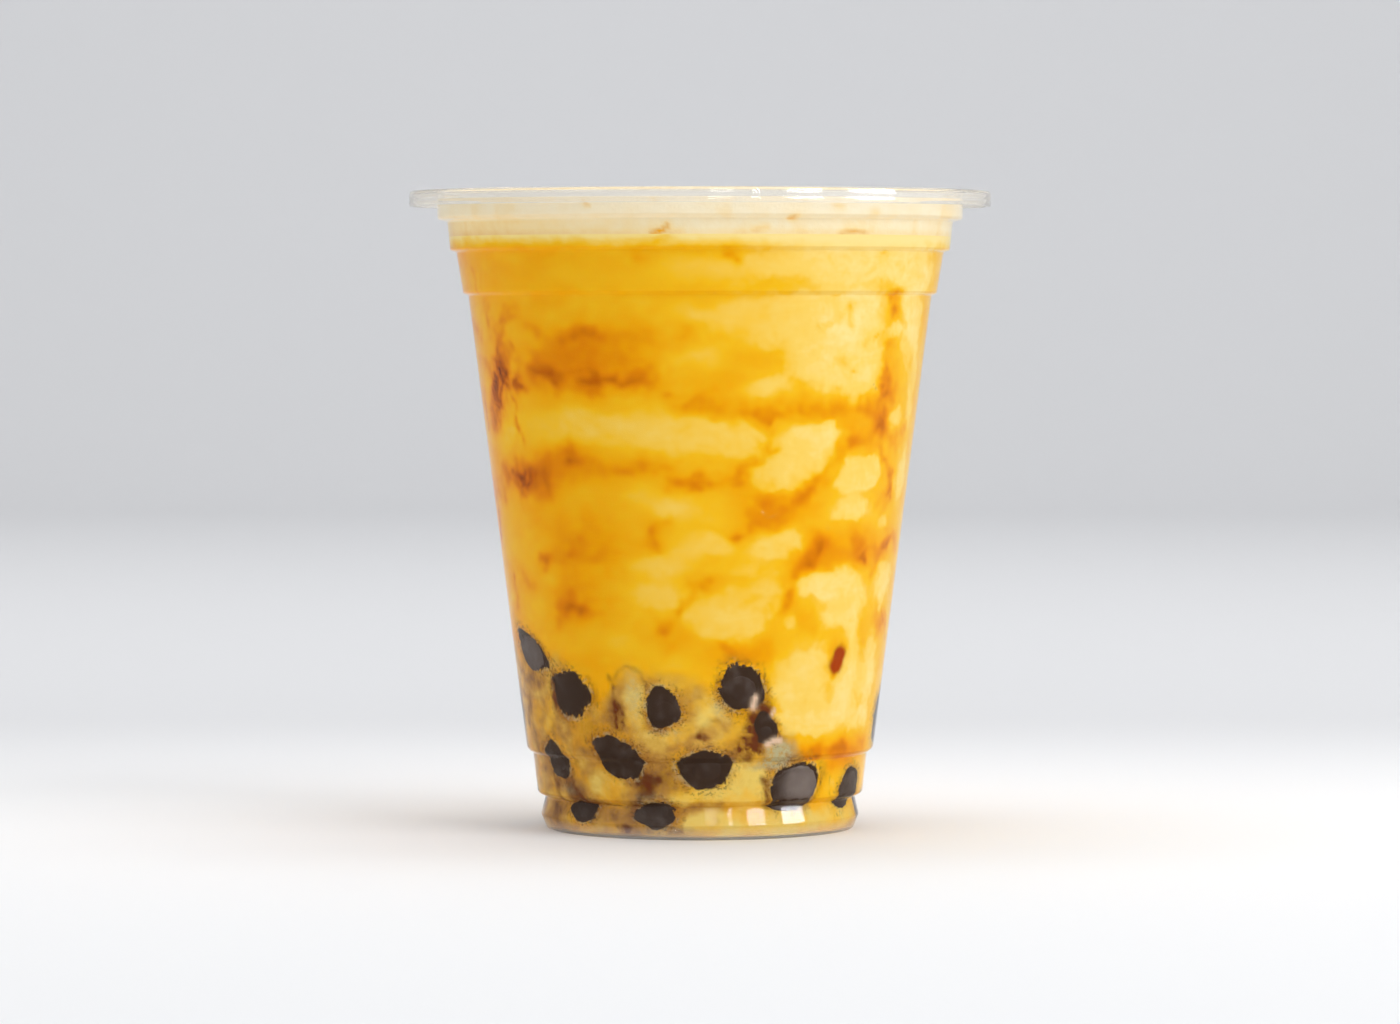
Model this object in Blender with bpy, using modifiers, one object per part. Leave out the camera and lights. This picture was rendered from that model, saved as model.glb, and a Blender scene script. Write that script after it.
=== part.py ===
"""Bubble tea in its clear plastic cup.

A tapered, stepped cup of 360 ml with a wide thin rim stands on a narrow ring foot. It is filled nearly to
the brim with milk tea, and a pale layer of milk foam floats on the tea. Lengths are metres, +Z is up, and
the origin is the middle of the ring that the cup stands on.
"""

import math
from collections import namedtuple

import bpy
from mathutils import Vector

MM = 0.001

# Driving sizes of the cup
RIM_DIAMETER = 95.0 * MM
CUP_HEIGHT = 104.0 * MM
WALL = 0.6 * MM

# Facets of a full turn, and chords of a rounded corner
TURN_STEPS = 64
ARC_STEPS = 2

# Rim: a flat flange with a lip turned down at its edge
RIM_RADIUS = RIM_DIAMETER / 2
LIP_DEPTH = 2.5 * MM
RIM_EDGE_ROUND = 0.45 * MM
MOUTH_ROUND = 0.5 * MM

# Bands of the outer wall below the rim, from the top down. Each is a cone from its top to its bottom, and
# turns in below through a rounded edge and a narrow ledge to the next.
Band = namedtuple("Band", "top top_radius bottom bottom_radius edge_round")
COLLAR = Band(CUP_HEIGHT - WALL, 42.9 * MM, 99.4 * MM, 42.9 * MM, 0.6 * MM)
UPPER_STEP = Band(99.0 * MM, 41.3 * MM, 94.4 * MM, 40.8 * MM, 0.5 * MM)
LOWER_STEP = Band(94.0 * MM, 39.8 * MM, 87.4 * MM, 38.7 * MM, 0.5 * MM)
BODY = Band(87.0 * MM, 37.85 * MM, 13.1 * MM, 28.35 * MM, 1.2 * MM)
BASE_BAND = Band(12.4 * MM, 27.35 * MM, 5.9 * MM, 26.6 * MM, 0.8 * MM)
BANDS = (COLLAR, UPPER_STEP, LOWER_STEP, BODY, BASE_BAND)

# Ring foot below the waist, and the base that is pushed up inside it
WAIST_HEIGHT = 5.3 * MM
WAIST_RADIUS = 25.3 * MM
FOOT_BELLY_HEIGHT = 2.3 * MM
FOOT_BELLY_RADIUS = 26.0 * MM
FOOT_OUTER_RADIUS = 25.1 * MM
FOOT_INNER_RADIUS = 22.2 * MM
BASE_PANEL_RADIUS = 20.6 * MM
BASE_PANEL_RISE = 2.0 * MM
FOOT_ROUND = 0.5 * MM

# Contents
GAP = 0.3 * MM
FOAM_BOTTOM = 96.8 * MM
DRINK_LEVEL = 101.8 * MM
MENISCUS_RISE = 0.5 * MM
MENISCUS_WIDTH = 2.2 * MM
MENISCUS_STEPS = 3

MATERIALS = {
    "clear_plastic": {"colour": (0.93, 0.94, 0.93, 1.0), "roughness": 0.12, "transmission": 0.9},
    "milk_tea": {"colour": (0.90, 0.52, 0.10, 1.0), "roughness": 0.35, "transmission": 0.0},
    "milk_foam": {"colour": (0.93, 0.80, 0.53, 1.0), "roughness": 0.45, "transmission": 0.0},
}


def clear_scene():
    """Start from an empty file, whatever was open."""
    for thing in list(bpy.data.objects):
        bpy.data.objects.remove(thing, do_unlink=True)


def make_material(name):
    """A Principled material with the finish listed for this name."""
    finish = MATERIALS[name]
    material = bpy.data.materials.new(name)
    material.use_nodes = True
    shader = material.node_tree.nodes["Principled BSDF"]
    shader.inputs["Base Color"].default_value = finish["colour"]
    shader.inputs["Roughness"].default_value = finish["roughness"]
    shader.inputs["Metallic"].default_value = 0.0
    shader.inputs["Transmission Weight"].default_value = finish["transmission"]
    return material


def point(radius, height):
    """A point of an outline, in the XZ plane."""
    return Vector((radius, height))


def rounded(corners, radii):
    """The outline through the corners, each rounded by its radius."""
    outline = []
    for index, corner in enumerate(corners):
        radius = radii[index]
        if radius == 0 or index in (0, len(corners) - 1):
            outline.append(corner)
            continue
        before = (corners[index - 1] - corner).normalized()
        after = (corners[index + 1] - corner).normalized()
        half_angle = before.angle(after) / 2
        cut = radius / math.tan(half_angle)
        centre = corner + (before + after).normalized() * radius / math.sin(half_angle)
        start = corner + before * cut - centre
        sweep = start.angle_signed(corner + after * cut - centre)
        for step in range(ARC_STEPS + 1):
            turn = -sweep * step / ARC_STEPS
            across = point(-start.y, start.x)
            outline.append(centre + start * math.cos(turn) + across * math.sin(turn))
    return outline


def inset(outline, distance):
    """The outline moved by distance to the right of its direction, with its corners kept sharp."""
    moved = []
    for index, here in enumerate(outline):
        normals = []
        for first, second in ((index - 1, index), (index, index + 1)):
            if first >= 0 and second < len(outline):
                run = (outline[second] - outline[first]).normalized()
                normals.append(point(run.y, -run.x))
        bisector = sum(normals, point(0, 0)).normalized()
        moved.append(here + bisector * distance / bisector.dot(normals[0]))
    return moved


def wall_corners():
    """Corners of the outer wall from under the rim down to the middle of the base, with their radii."""
    corners = []
    radii = []
    for band in BANDS:
        corners += [point(band.top_radius, band.top), point(band.bottom_radius, band.bottom)]
        radii += [0.0, band.edge_round]
    corners += [
        point(WAIST_RADIUS, WAIST_HEIGHT),
        point(FOOT_BELLY_RADIUS, FOOT_BELLY_HEIGHT),
        point(FOOT_OUTER_RADIUS, 0.0),
        point(FOOT_INNER_RADIUS, 0.0),
        point(BASE_PANEL_RADIUS, BASE_PANEL_RISE),
        point(0.0, BASE_PANEL_RISE),
    ]
    radii += [0.0, FOOT_ROUND, FOOT_ROUND, 0.0, 0.0, 0.0]
    return corners, radii


def inner_wall(distance):
    """Outline of the space inside the wall, from the top down, at a distance from the outer wall."""
    corners, _ = wall_corners()
    outline = inset(corners, distance)
    outline[-1].x = 0.0
    return outline


def height_on(outline, height):
    """The point where an outline that runs downwards crosses a height."""
    for above, below in zip(outline, outline[1:]):
        if above.y >= height >= below.y and above.y > below.y:
            return above.lerp(below, (above.y - height) / (above.y - below.y))
    raise ValueError("the outline does not reach this height")


def part_below(outline, height):
    """The stretch of a downward outline that lies below a height, cut cleanly at that height."""
    cut = height_on(outline, height)
    return [cut] + [here for here in outline if here.y < height]


def part_between(outline, top, bottom):
    """The stretch of a downward outline between two heights, cut cleanly at both."""
    upper_cut = height_on(outline, top)
    lower_cut = height_on(outline, bottom)
    middle = [here for here in outline if bottom < here.y < top]
    return [upper_cut] + middle + [lower_cut]


def cup_outline():
    """Closed section of the cup, from the middle of its floor over the rim to the middle of its base."""
    corners, radii = wall_corners()
    mouth = point(corners[0].x - WALL, CUP_HEIGHT)
    rim = [
        mouth,
        point(RIM_RADIUS, CUP_HEIGHT),
        point(RIM_RADIUS, CUP_HEIGHT - LIP_DEPTH),
        point(RIM_RADIUS - WALL, CUP_HEIGHT - LIP_DEPTH),
        point(RIM_RADIUS - WALL, CUP_HEIGHT - WALL),
    ]
    rim_radii = [MOUTH_ROUND, RIM_EDGE_ROUND, 0.0, 0.0, 0.0]
    inside = [here for here in reversed(inner_wall(WALL)) if here.y < CUP_HEIGHT - 2 * WALL]
    outer = rounded(inside[-1:] + rim + corners, [0.0] + rim_radii + radii)
    return inside[:-1] + outer


def meniscus(edge, level):
    """Top of the contents from the axis out to the wall, where the surface curves up a little."""
    flat_radius = edge.x - MENISCUS_WIDTH
    top = [point(0.0, level), point(flat_radius, level)]
    for step in range(1, MENISCUS_STEPS):
        share = step / MENISCUS_STEPS
        top.append(point(flat_radius + MENISCUS_WIDTH * share, level + MENISCUS_RISE * share**2))
    return top


def turn(name, outline, material, collection, parent):
    """A solid of revolution about Z from its outline, which runs from the axis and back to the axis."""
    mesh = bpy.data.meshes.new(name)
    points = [(here.x, 0.0, here.y) for here in outline]
    edges = [(index, index + 1) for index in range(len(points) - 1)]
    mesh.from_pydata(points, edges, [])
    solid = bpy.data.objects.new(name, mesh)
    collection.objects.link(solid)
    solid.parent = parent
    mesh.materials.append(material)
    screw = solid.modifiers.new("Turn", "SCREW")
    screw.axis = "Z"
    screw.angle = 2 * math.pi
    screw.steps = TURN_STEPS
    screw.render_steps = TURN_STEPS
    screw.use_merge_vertices = True
    screw.merge_threshold = 0.01 * MM
    screw.use_smooth_shade = True
    return solid


def make_cup(collection, parent):
    """The clear plastic cup, one thin wall from the rim's lip to the raised base."""
    return turn("cup", cup_outline(), make_material("clear_plastic"), collection, parent)


def make_milk_tea(collection, parent):
    """The milk tea, which fills the cup from its floor up to the foam."""
    side = part_below(inner_wall(WALL + GAP), FOAM_BOTTOM - GAP)
    outline = [point(0.0, side[0].y)] + side
    return turn("milk_tea", outline, make_material("milk_tea"), collection, parent)


def make_milk_foam(collection, parent):
    """The layer of milk foam on the tea, up to the level just under the brim."""
    side = part_between(inner_wall(WALL + GAP), DRINK_LEVEL + MENISCUS_RISE, FOAM_BOTTOM)
    outline = meniscus(side[0], DRINK_LEVEL) + side + [point(0.0, FOAM_BOTTOM)]
    return turn("milk_foam", outline, make_material("milk_foam"), collection, parent)


def main():
    clear_scene()
    collection = bpy.data.collections.new("bubble_tea")
    bpy.context.scene.collection.children.link(collection)
    root = bpy.data.objects.new("bubble_tea_origin", None)
    collection.objects.link(root)
    make_cup(collection, root)
    make_milk_tea(collection, root)
    make_milk_foam(collection, root)


main()
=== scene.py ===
"""Look of a bubble tea: milk tea with brown sugar syrup and tapioca pearls under milk foam, in a clear cup.

Laid out as an add-on and run as a script. Every piece is turned or shaped in mesh code round the fixed
frame. Sizes in the tables below are millimetres. A place on the wall is given by its azimuth, in degrees to
the right of the front, and by its height above the table.
"""

import math
import random
from collections import namedtuple

import bpy
import numpy as np
from bpy.props import FloatProperty, FloatVectorProperty, IntProperty, PointerProperty
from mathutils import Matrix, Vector, noise


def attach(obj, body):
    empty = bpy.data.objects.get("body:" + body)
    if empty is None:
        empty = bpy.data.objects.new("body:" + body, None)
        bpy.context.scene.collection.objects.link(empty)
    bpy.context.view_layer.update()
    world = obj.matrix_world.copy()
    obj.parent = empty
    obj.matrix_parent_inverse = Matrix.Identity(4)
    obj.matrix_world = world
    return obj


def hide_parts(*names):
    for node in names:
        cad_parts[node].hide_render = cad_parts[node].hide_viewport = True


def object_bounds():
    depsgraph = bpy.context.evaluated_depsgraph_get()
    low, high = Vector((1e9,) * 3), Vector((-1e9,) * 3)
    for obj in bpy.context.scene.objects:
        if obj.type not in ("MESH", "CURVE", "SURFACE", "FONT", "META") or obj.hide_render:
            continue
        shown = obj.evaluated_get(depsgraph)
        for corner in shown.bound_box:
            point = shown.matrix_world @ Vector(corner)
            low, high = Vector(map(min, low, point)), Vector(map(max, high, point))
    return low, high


bl_info = {
    "name": "Bubble Tea",
    "version": (1, 0, 0),
    "blender": (4, 5, 0),
    "location": "View3D > Sidebar > Bubble Tea",
    "description": "Dresses a filled bubble tea cup and sets it in a plain studio",
    "category": "Object",
}

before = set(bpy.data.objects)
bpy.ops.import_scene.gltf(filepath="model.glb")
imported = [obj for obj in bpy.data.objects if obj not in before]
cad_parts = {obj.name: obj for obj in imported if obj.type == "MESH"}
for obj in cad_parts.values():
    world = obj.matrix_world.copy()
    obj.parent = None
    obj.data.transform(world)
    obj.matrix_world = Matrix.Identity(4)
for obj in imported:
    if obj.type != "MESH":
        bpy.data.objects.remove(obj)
CAD_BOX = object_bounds()
MM = 0.001

# Cup, from the frame's box and the bands of its wall
RIM_RADIUS = CAD_BOX[1].x / MM
CUP_HEIGHT = CAD_BOX[1].z / MM
WALL = 0.6
Band = namedtuple("Band", "top top_radius bottom bottom_radius edge_round")
BANDS = (
    Band(CUP_HEIGHT - WALL, 42.9, 99.4, 42.9, 0.6),
    Band(99.0, 41.3, 94.4, 40.8, 0.5),
    Band(94.0, 39.8, 87.4, 38.7, 0.5),
    Band(87.0, 37.85, 13.1, 28.35, 1.2),
    Band(12.4, 27.35, 5.9, 26.6, 0.8),
)
WAIST = (25.3, 5.3)
FOOT_BELLY = (26.0, 2.3)
FOOT_OUTER_RADIUS = 25.1
FOOT_INNER_RADIUS = 22.2
BASE_PANEL = (20.6, 2.0)
FOOT_ROUND = 0.5
LEDGE_ROUND = 0.25
LIP_DEPTH = 2.5
LIP_BULGE = 0.09
MOUTH_ROUND = 0.5
BRIM_ROUND = 0.45
LIP_FOOT_ROUND = 0.2
UNDER_RIM_ROUND = 0.3
COLLAR_INSIDE = BANDS[0].top_radius - WALL

# Contents, which reach just into the wall
INTO_WALL = 0.08
TEA_TOP = 96.65
DRINK_LEVEL = 101.8
MENISCUS_RISE = 0.5
MENISCUS_WIDTH = 2.2
# Relief of the foam's top. Beyond the fleck radius the foam shows at the wall.
FOAM_RELIEF = 0.12
FLECK_RADIUS = 39.5
# Length along the wall of one degree, low in the cup
LOW_ARC = math.radians(28.0)

# Fineness of the meshes. An edge that turns by more than the corner stays sharp.
ROUND_CHORDS = 6
CUP_SEGMENTS = 288
TEA_SEGMENTS = 460
TEA_ROW = 0.46
FOAM_SEGMENTS = 400
FOAM_ROW = 0.6
DOME_ROUNDS = 12
DOME_ROWS = 4
CORNER = math.radians(50.0)

# Seeds of the random draws
SYRUP_SEED = 41
PEARL_SEED = 7
BUBBLE_SEED = 23

# Azimuths over which the placed syrup and milk of the front give way to the drawn ones of the back
FRONT_ENDS = (80.0, 105.0)

# Syrup in the tea. A stroke follows its path with the given half width, and its strength is the share of
# the way to the thickest syrup. A patch is a soft oval of the given width and height, leaning by the given
# degrees.
Stroke = namedtuple("Stroke", "path width strength")
Patch = namedtuple("Patch", "azimuth height width tall strength lean", defaults=(0.0,))

# A stroke is a firm core, which has this share of its strength, in a glow. Their reach is in half widths.
CORE_SHARE = 0.75
CORE_REACH = 1.7
GLOW_START = 0.3
GLOW_REACH = 3.2
MOST_COVER = 0.97
# A patch fades between these shares of its half width
PATCH_FADE = (0.2, 1.5)

SYRUP_STROKES = (
    # Left edge: a dark blob with its tail, and faint loops beside and above it
    Stroke(((-61.5, 74.8), (-64.5, 73.4), (-66, 71.4)), 2.4, 0.84),
    Stroke(((-66, 73), (-67.5, 70.8)), 1.6, 0.70),
    Stroke(((-68, 70.4), (-71, 67.0)), 1.6, 0.46),
    Stroke(((-61, 74.6), (-56.5, 73.4), (-52.5, 73.2)), 0.9, 0.36),
    Stroke(((-55.4, 74.0), (-53.4, 73.2)), 0.8, 0.24),
    Stroke(((-61, 79.4), (-60.4, 82.4), (-56, 85.0), (-52, 85.4)), 0.7, 0.26),
    Stroke(((-60, 82.6), (-54, 83.2), (-48, 82.8), (-43.6, 80.8)), 0.7, 0.24),
    Stroke(((-57.4, 79.2), (-54.4, 78.0), (-53.6, 75.6), (-55.6, 74.2)), 0.6, 0.28),
    Stroke(((-64, 82), (-62, 78), (-63, 75)), 0.9, 0.24),
    Stroke(((-68, 87), (-69, 84), (-67, 81)), 0.9, 0.26),
    Stroke(((-57.5, 70.2), (-56.8, 67.8)), 0.4, 0.34),
    Stroke(((-58.5, 66.8), (-56.4, 65.4), (-55.4, 63.6)), 0.5, 0.38),
    Stroke(((-80, 70), (-78, 66)), 0.8, 0.40),
    # The long streak of the upper left, the arch over it and the haze between them
    Stroke(((-46, 74.3), (-40, 74.2), (-35, 73.4), (-28, 73.2)), 1.9, 0.26),
    Stroke(((-46, 74.8), (-43, 74.2), (-39, 73.6)), 1.2, 0.46),
    Stroke(((-30, 73.6), (-26, 73.0), (-21, 72.8), (-15, 73.4)), 1.5, 0.42),
    Stroke(((-21, 72.6), (-18, 72.4)), 1.1, 0.16),
    Stroke(((-13, 73.8), (-8, 71.6), (-4, 70.6), (3, 70.4)), 1.5, 0.20),
    Stroke(((-8.5, 71.6), (-7, 71.2)), 0.8, 0.16),
    Stroke(((-36.5, 80.0), (-33, 81.4), (-29, 81.9), (-27, 81.2)), 1.2, 0.44),
    Stroke(((-32.5, 80.8), (-29, 81.4)), 0.9, 0.16),
    Stroke(((-33, 79), (-20, 79.6), (-12, 79.0)), 2.2, 0.18),
    Stroke(((-30, 76.6), (-20, 76.4)), 2.2, 0.12),
    Stroke(((-4.6, 80.9), (-2.6, 80.7)), 0.9, 0.24),
    Stroke(((-6, 80.2), (4, 80.6), (9, 81.6)), 1.3, 0.12),
    # The band that crosses to the right, and the patch over it
    Stroke(((-3, 70), (4, 69.4), (14, 68.2), (20, 67.8), (30, 68.6), (40, 69.2), (50, 69.4)), 1.5, 0.20),
    Stroke(((15, 67.9), (19, 67.4), (23, 67.9)), 0.9, 0.24),
    Stroke(((19, 66.9), (20.5, 66.4)), 0.7, 0.18),
    Stroke(((28, 68.6), (36, 68.4)), 1.1, 0.16),
    Stroke(((40, 68), (44, 65), (52, 65.4)), 2.0, 0.16),
    Stroke(((6, 75), (12, 76.6), (18, 77.6), (21, 78.6)), 1.6, 0.09),
    Stroke(((20, 77.5), (23.5, 75.0), (27, 72.6), (28.5, 70.6)), 1.2, 0.14),
    Stroke(((0, 74.4), (8, 73.2)), 1.4, 0.08),
    # The upright band near the right edge
    Stroke(((56.2, 79.2), (55.4, 77.0), (54.6, 73)), 1.1, 0.26),
    Stroke(((55.5, 73.5), (56, 70.6), (57, 66.2)), 1.5, 0.36),
    Stroke(((57.5, 72), (61, 70.8), (62, 73)), 1.2, 0.22),
    Stroke(((50, 70), (56, 68)), 2.0, 0.16),
    Stroke(((58, 65.8), (64, 64.4), (70, 65.6)), 1.3, 0.26),
    Stroke(((64, 64), (66, 62.8)), 0.9, 0.20),
    Stroke(((66, 78.5), (74, 73), (78, 69.5)), 1.0, 0.18),
    # The drip under the ledge and the flecks beside it
    Stroke(((54.0, 87.2), (58.5, 87.0)), 0.8, 0.24),
    Stroke(((55.5, 86.6), (57.6, 84.8)), 1.0, 0.28),
    Stroke(((57.2, 84.8), (57.6, 83.2)), 0.5, 0.22),
    Stroke(((39.3, 84.9), (40.2, 83.8)), 0.55, 0.30),
    Stroke(((40.6, 83.0), (41.4, 82.0)), 0.45, 0.24),
    Stroke(((30.0, 81.9), (31.2, 81.4)), 0.40, 0.26),
    Stroke(((32.4, 82.4), (33.6, 82.6)), 0.30, 0.20),
    Stroke(((35.2, 83.1), (37.4, 83.6)), 0.40, 0.16),
    Stroke(((49.2, 80.4), (51, 81.2)), 0.6, 0.30),
    Stroke(((46.6, 79.2), (47.4, 80.0)), 0.4, 0.18),
    Stroke(((37, 77.2), (40.6, 77.0)), 0.6, 0.20),
    Stroke(((43.2, 74.8), (44.2, 74.5)), 0.28, 0.45),
    Stroke(((34.4, 87.3), (36, 87.2)), 0.25, 0.30),
    # Lines between the cells of milk on the right
    Stroke(((19.4, 66.6), (18.8, 64.6), (17.4, 63.2)), 0.7, 0.26),
    Stroke(((17.4, 63.2), (14.4, 60.8), (12, 59.2)), 1.0, 0.32),
    Stroke(((12.5, 59.6), (11, 58.4)), 1.1, 0.20),
    Stroke(((48, 64.4), (42, 62.8), (36, 60.2), (33, 57.6), (30.5, 55.4)), 1.5, 0.26),
    Stroke(((31.5, 56.2), (29.5, 55.2)), 0.8, 0.20),
    Stroke(((30, 54.8), (24, 53.4), (18, 52.2), (14, 50.6)), 1.9, 0.26),
    Stroke(((22, 51.2), (15, 50.2), (11.4, 48.9)), 1.0, 0.24),
    Stroke(((12.6, 49), (11, 48.5)), 0.7, 0.18),
    Stroke(((59, 62.8), (61.5, 60.6), (64.5, 58.4)), 0.8, 0.30),
    Stroke(((64.5, 58.4), (66, 56.6), (66, 55.4)), 0.9, 0.34),
    Stroke(((66, 55.2), (61.5, 53.4)), 1.4, 0.24),
    Stroke(((-3, 57.4), (4, 57.2), (13, 57.0), (20, 55.2)), 1.6, 0.22),
    Stroke(((2, 60.6), (9, 60.4)), 1.3, 0.14),
    Stroke(((52, 62.4), (47, 63.4)), 1.4, 0.12),
    # The lower streak on the left, which thins out to the right
    Stroke(((-68, 60), (-64, 58.2), (-60, 57.2)), 1.5, 0.32),
    Stroke(((-60, 58.4), (-56.5, 57.0), (-52.5, 57.4)), 1.6, 0.48),
    Stroke(((-57, 57.2), (-54.5, 56.0)), 1.3, 0.40),
    Stroke(((-53, 59.6), (-46, 60.4), (-38, 61.4)), 1.3, 0.34),
    Stroke(((-49, 58.6), (-45.6, 57.0), (-45, 55.4)), 1.2, 0.34),
    Stroke(((-58, 55.6), (-50, 55.2)), 1.5, 0.20),
    Stroke(((-38, 61), (-30, 59.6), (-22, 59.2), (-12, 59.9)), 1.2, 0.22),
    Stroke(((-22, 59.2), (-8, 59.8), (-2, 57.6)), 0.9, 0.18),
    Stroke(((-8, 57.2), (-3, 57.2), (1, 57.4)), 1.3, 0.26),
    Stroke(((-46, 62.2), (-34, 62.2)), 1.6, 0.12),
    # Hooks and spots of the middle
    Stroke(((-7.6, 51.2), (-10.5, 51.6), (-12.4, 50.2)), 0.9, 0.24),
    Stroke(((-12.4, 50.2), (-13.2, 48.0), (-14.2, 47.4)), 0.8, 0.26),
    Stroke(((-12.8, 47.8), (-14.0, 47.2)), 0.6, 0.20),
    Stroke(((-51.4, 45.0), (-50, 44.4)), 0.9, 0.42),
    Stroke(((-52.8, 46.1), (-52.6, 46.0)), 0.25, 0.60),
    Stroke(((-49, 44.6), (-42, 45.4), (-37, 47)), 1.5, 0.22),
    Stroke(((-40, 46.4), (-34, 46.6)), 2.0, 0.14),
    Stroke(((-70.6, 41.8), (-71.4, 38.8), (-71, 36.8)), 0.7, 0.42),
    Stroke(((-62, 41.2), (-57, 40.2)), 1.2, 0.20),
    Stroke(((-80, 51), (-83, 47)), 0.9, 0.50),
    Stroke(((-48, 34.6), (-45, 37.0), (-40.5, 37.6)), 0.9, 0.28),
    Stroke(((-43.5, 37.6), (-40.5, 38.0), (-36.5, 36.8)), 1.0, 0.30),
    Stroke(((-40, 38), (-34, 36.4), (-28, 38.2)), 1.1, 0.14),
    Stroke(((-7.6, 36.8), (-6.4, 38.2), (-4.6, 39.2), (-2, 39.6)), 0.7, 0.30),
    Stroke(((-7, 37.4), (-6, 38.4)), 0.8, 0.22),
    Stroke(((-1, 40.6), (1.6, 41.2)), 0.8, 0.26),
    Stroke(((1.5, 40.8), (6, 40.4), (10, 39.6)), 0.7, 0.12),
    Stroke(((14, 37.6), (15.2, 38.6), (18, 39.4)), 0.5, 0.16),
    Stroke(((-13.5, 34.4), (-9.4, 33.8)), 1.1, 0.24),
    Stroke(((-10, 34), (-10, 31.2)), 0.9, 0.16),
    # The burnt spots of the lower right and the line that leads to them
    Stroke(((34.6, 48.6), (35.6, 46.8), (35.4, 45.0)), 1.5, 0.38),
    Stroke(((33, 44.4), (28, 42.4), (26, 40.2)), 1.6, 0.24),
    Stroke(((31, 43.6), (29.4, 42.6)), 0.9, 0.16),
    Stroke(((26, 39.8), (26.6, 38.6), (24.6, 38.8)), 1.1, 0.40),
    Stroke(((38, 46), (46, 45.6), (52, 44.6)), 1.8, 0.18),
    Stroke(((48, 48), (52, 47.2)), 1.3, 0.28),
    Stroke(((53.2, 45.2), (55.6, 44.9)), 0.9, 0.50),
    Stroke(((71, 49.2), (67, 47.4), (63.5, 45.4), (60, 42.4)), 0.9, 0.34),
    Stroke(((67, 48.6), (65.6, 46.6)), 1.1, 0.26),
    Stroke(((72, 48.6), (78, 46.2)), 1.0, 0.34),
    Stroke(((56, 47.6), (63, 45.6)), 1.4, 0.20),
    Stroke(((72, 36), (76, 33.4), (78, 31.4)), 1.2, 0.36),
    Stroke(((68, 37), (70, 34.6)), 1.3, 0.18),
    Stroke(((48.5, 29.7), (46.8, 27.7)), 1.8, 0.40),
    Stroke(((46.2, 27), (45.6, 25.8)), 0.8, 0.18),
    Stroke(((59.6, 31), (60.4, 28.4), (60, 25.8)), 1.0, 0.12),
    Stroke(((34, 22.8), (37, 22.2)), 1.1, 0.12),
    Stroke(((22.4, 21.6), (26.5, 21.2)), 0.8, 0.20),
    Stroke(((7, 31.4), (9, 31.0)), 0.9, 0.24),
    Stroke(((18, 28.6), (21, 29.4)), 1.6, 0.24),
    Stroke(((4, 29), (8, 28), (14, 29.4)), 1.5, 0.14),
    Stroke(((38, 13.8), (46, 13.6), (56, 14.2), (70, 14.4)), 1.1, 0.30),
    Stroke(((38, 12.8), (42, 13.4)), 1.1, 0.20),
    Stroke(((50, 14.4), (60, 13.6)), 0.9, 0.22),
    Stroke(((50, 11), (64, 11.4)), 1.4, 0.20),
    # Caramel specks just under the foam
    Stroke(((-11, 95.4), (-8, 96.4)), 0.7, 0.20),
    Stroke(((-14.5, 93.4), (-12.2, 93.2)), 0.8, 0.26),
    Stroke(((6.4, 93.8), (8.6, 93.4)), 0.6, 0.26),
    Stroke(((7.6, 93.2), (9.2, 92.4)), 0.7, 0.30),
    Stroke(((47.2, 94.0), (48.6, 93.8)), 0.5, 0.24),
    Stroke(((-70, 91.5), (-68, 89.5), (-69, 88.0)), 0.4, 0.26),
    Stroke(((-64.5, 91), (-65.5, 89.0)), 0.4, 0.26),
)

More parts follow.
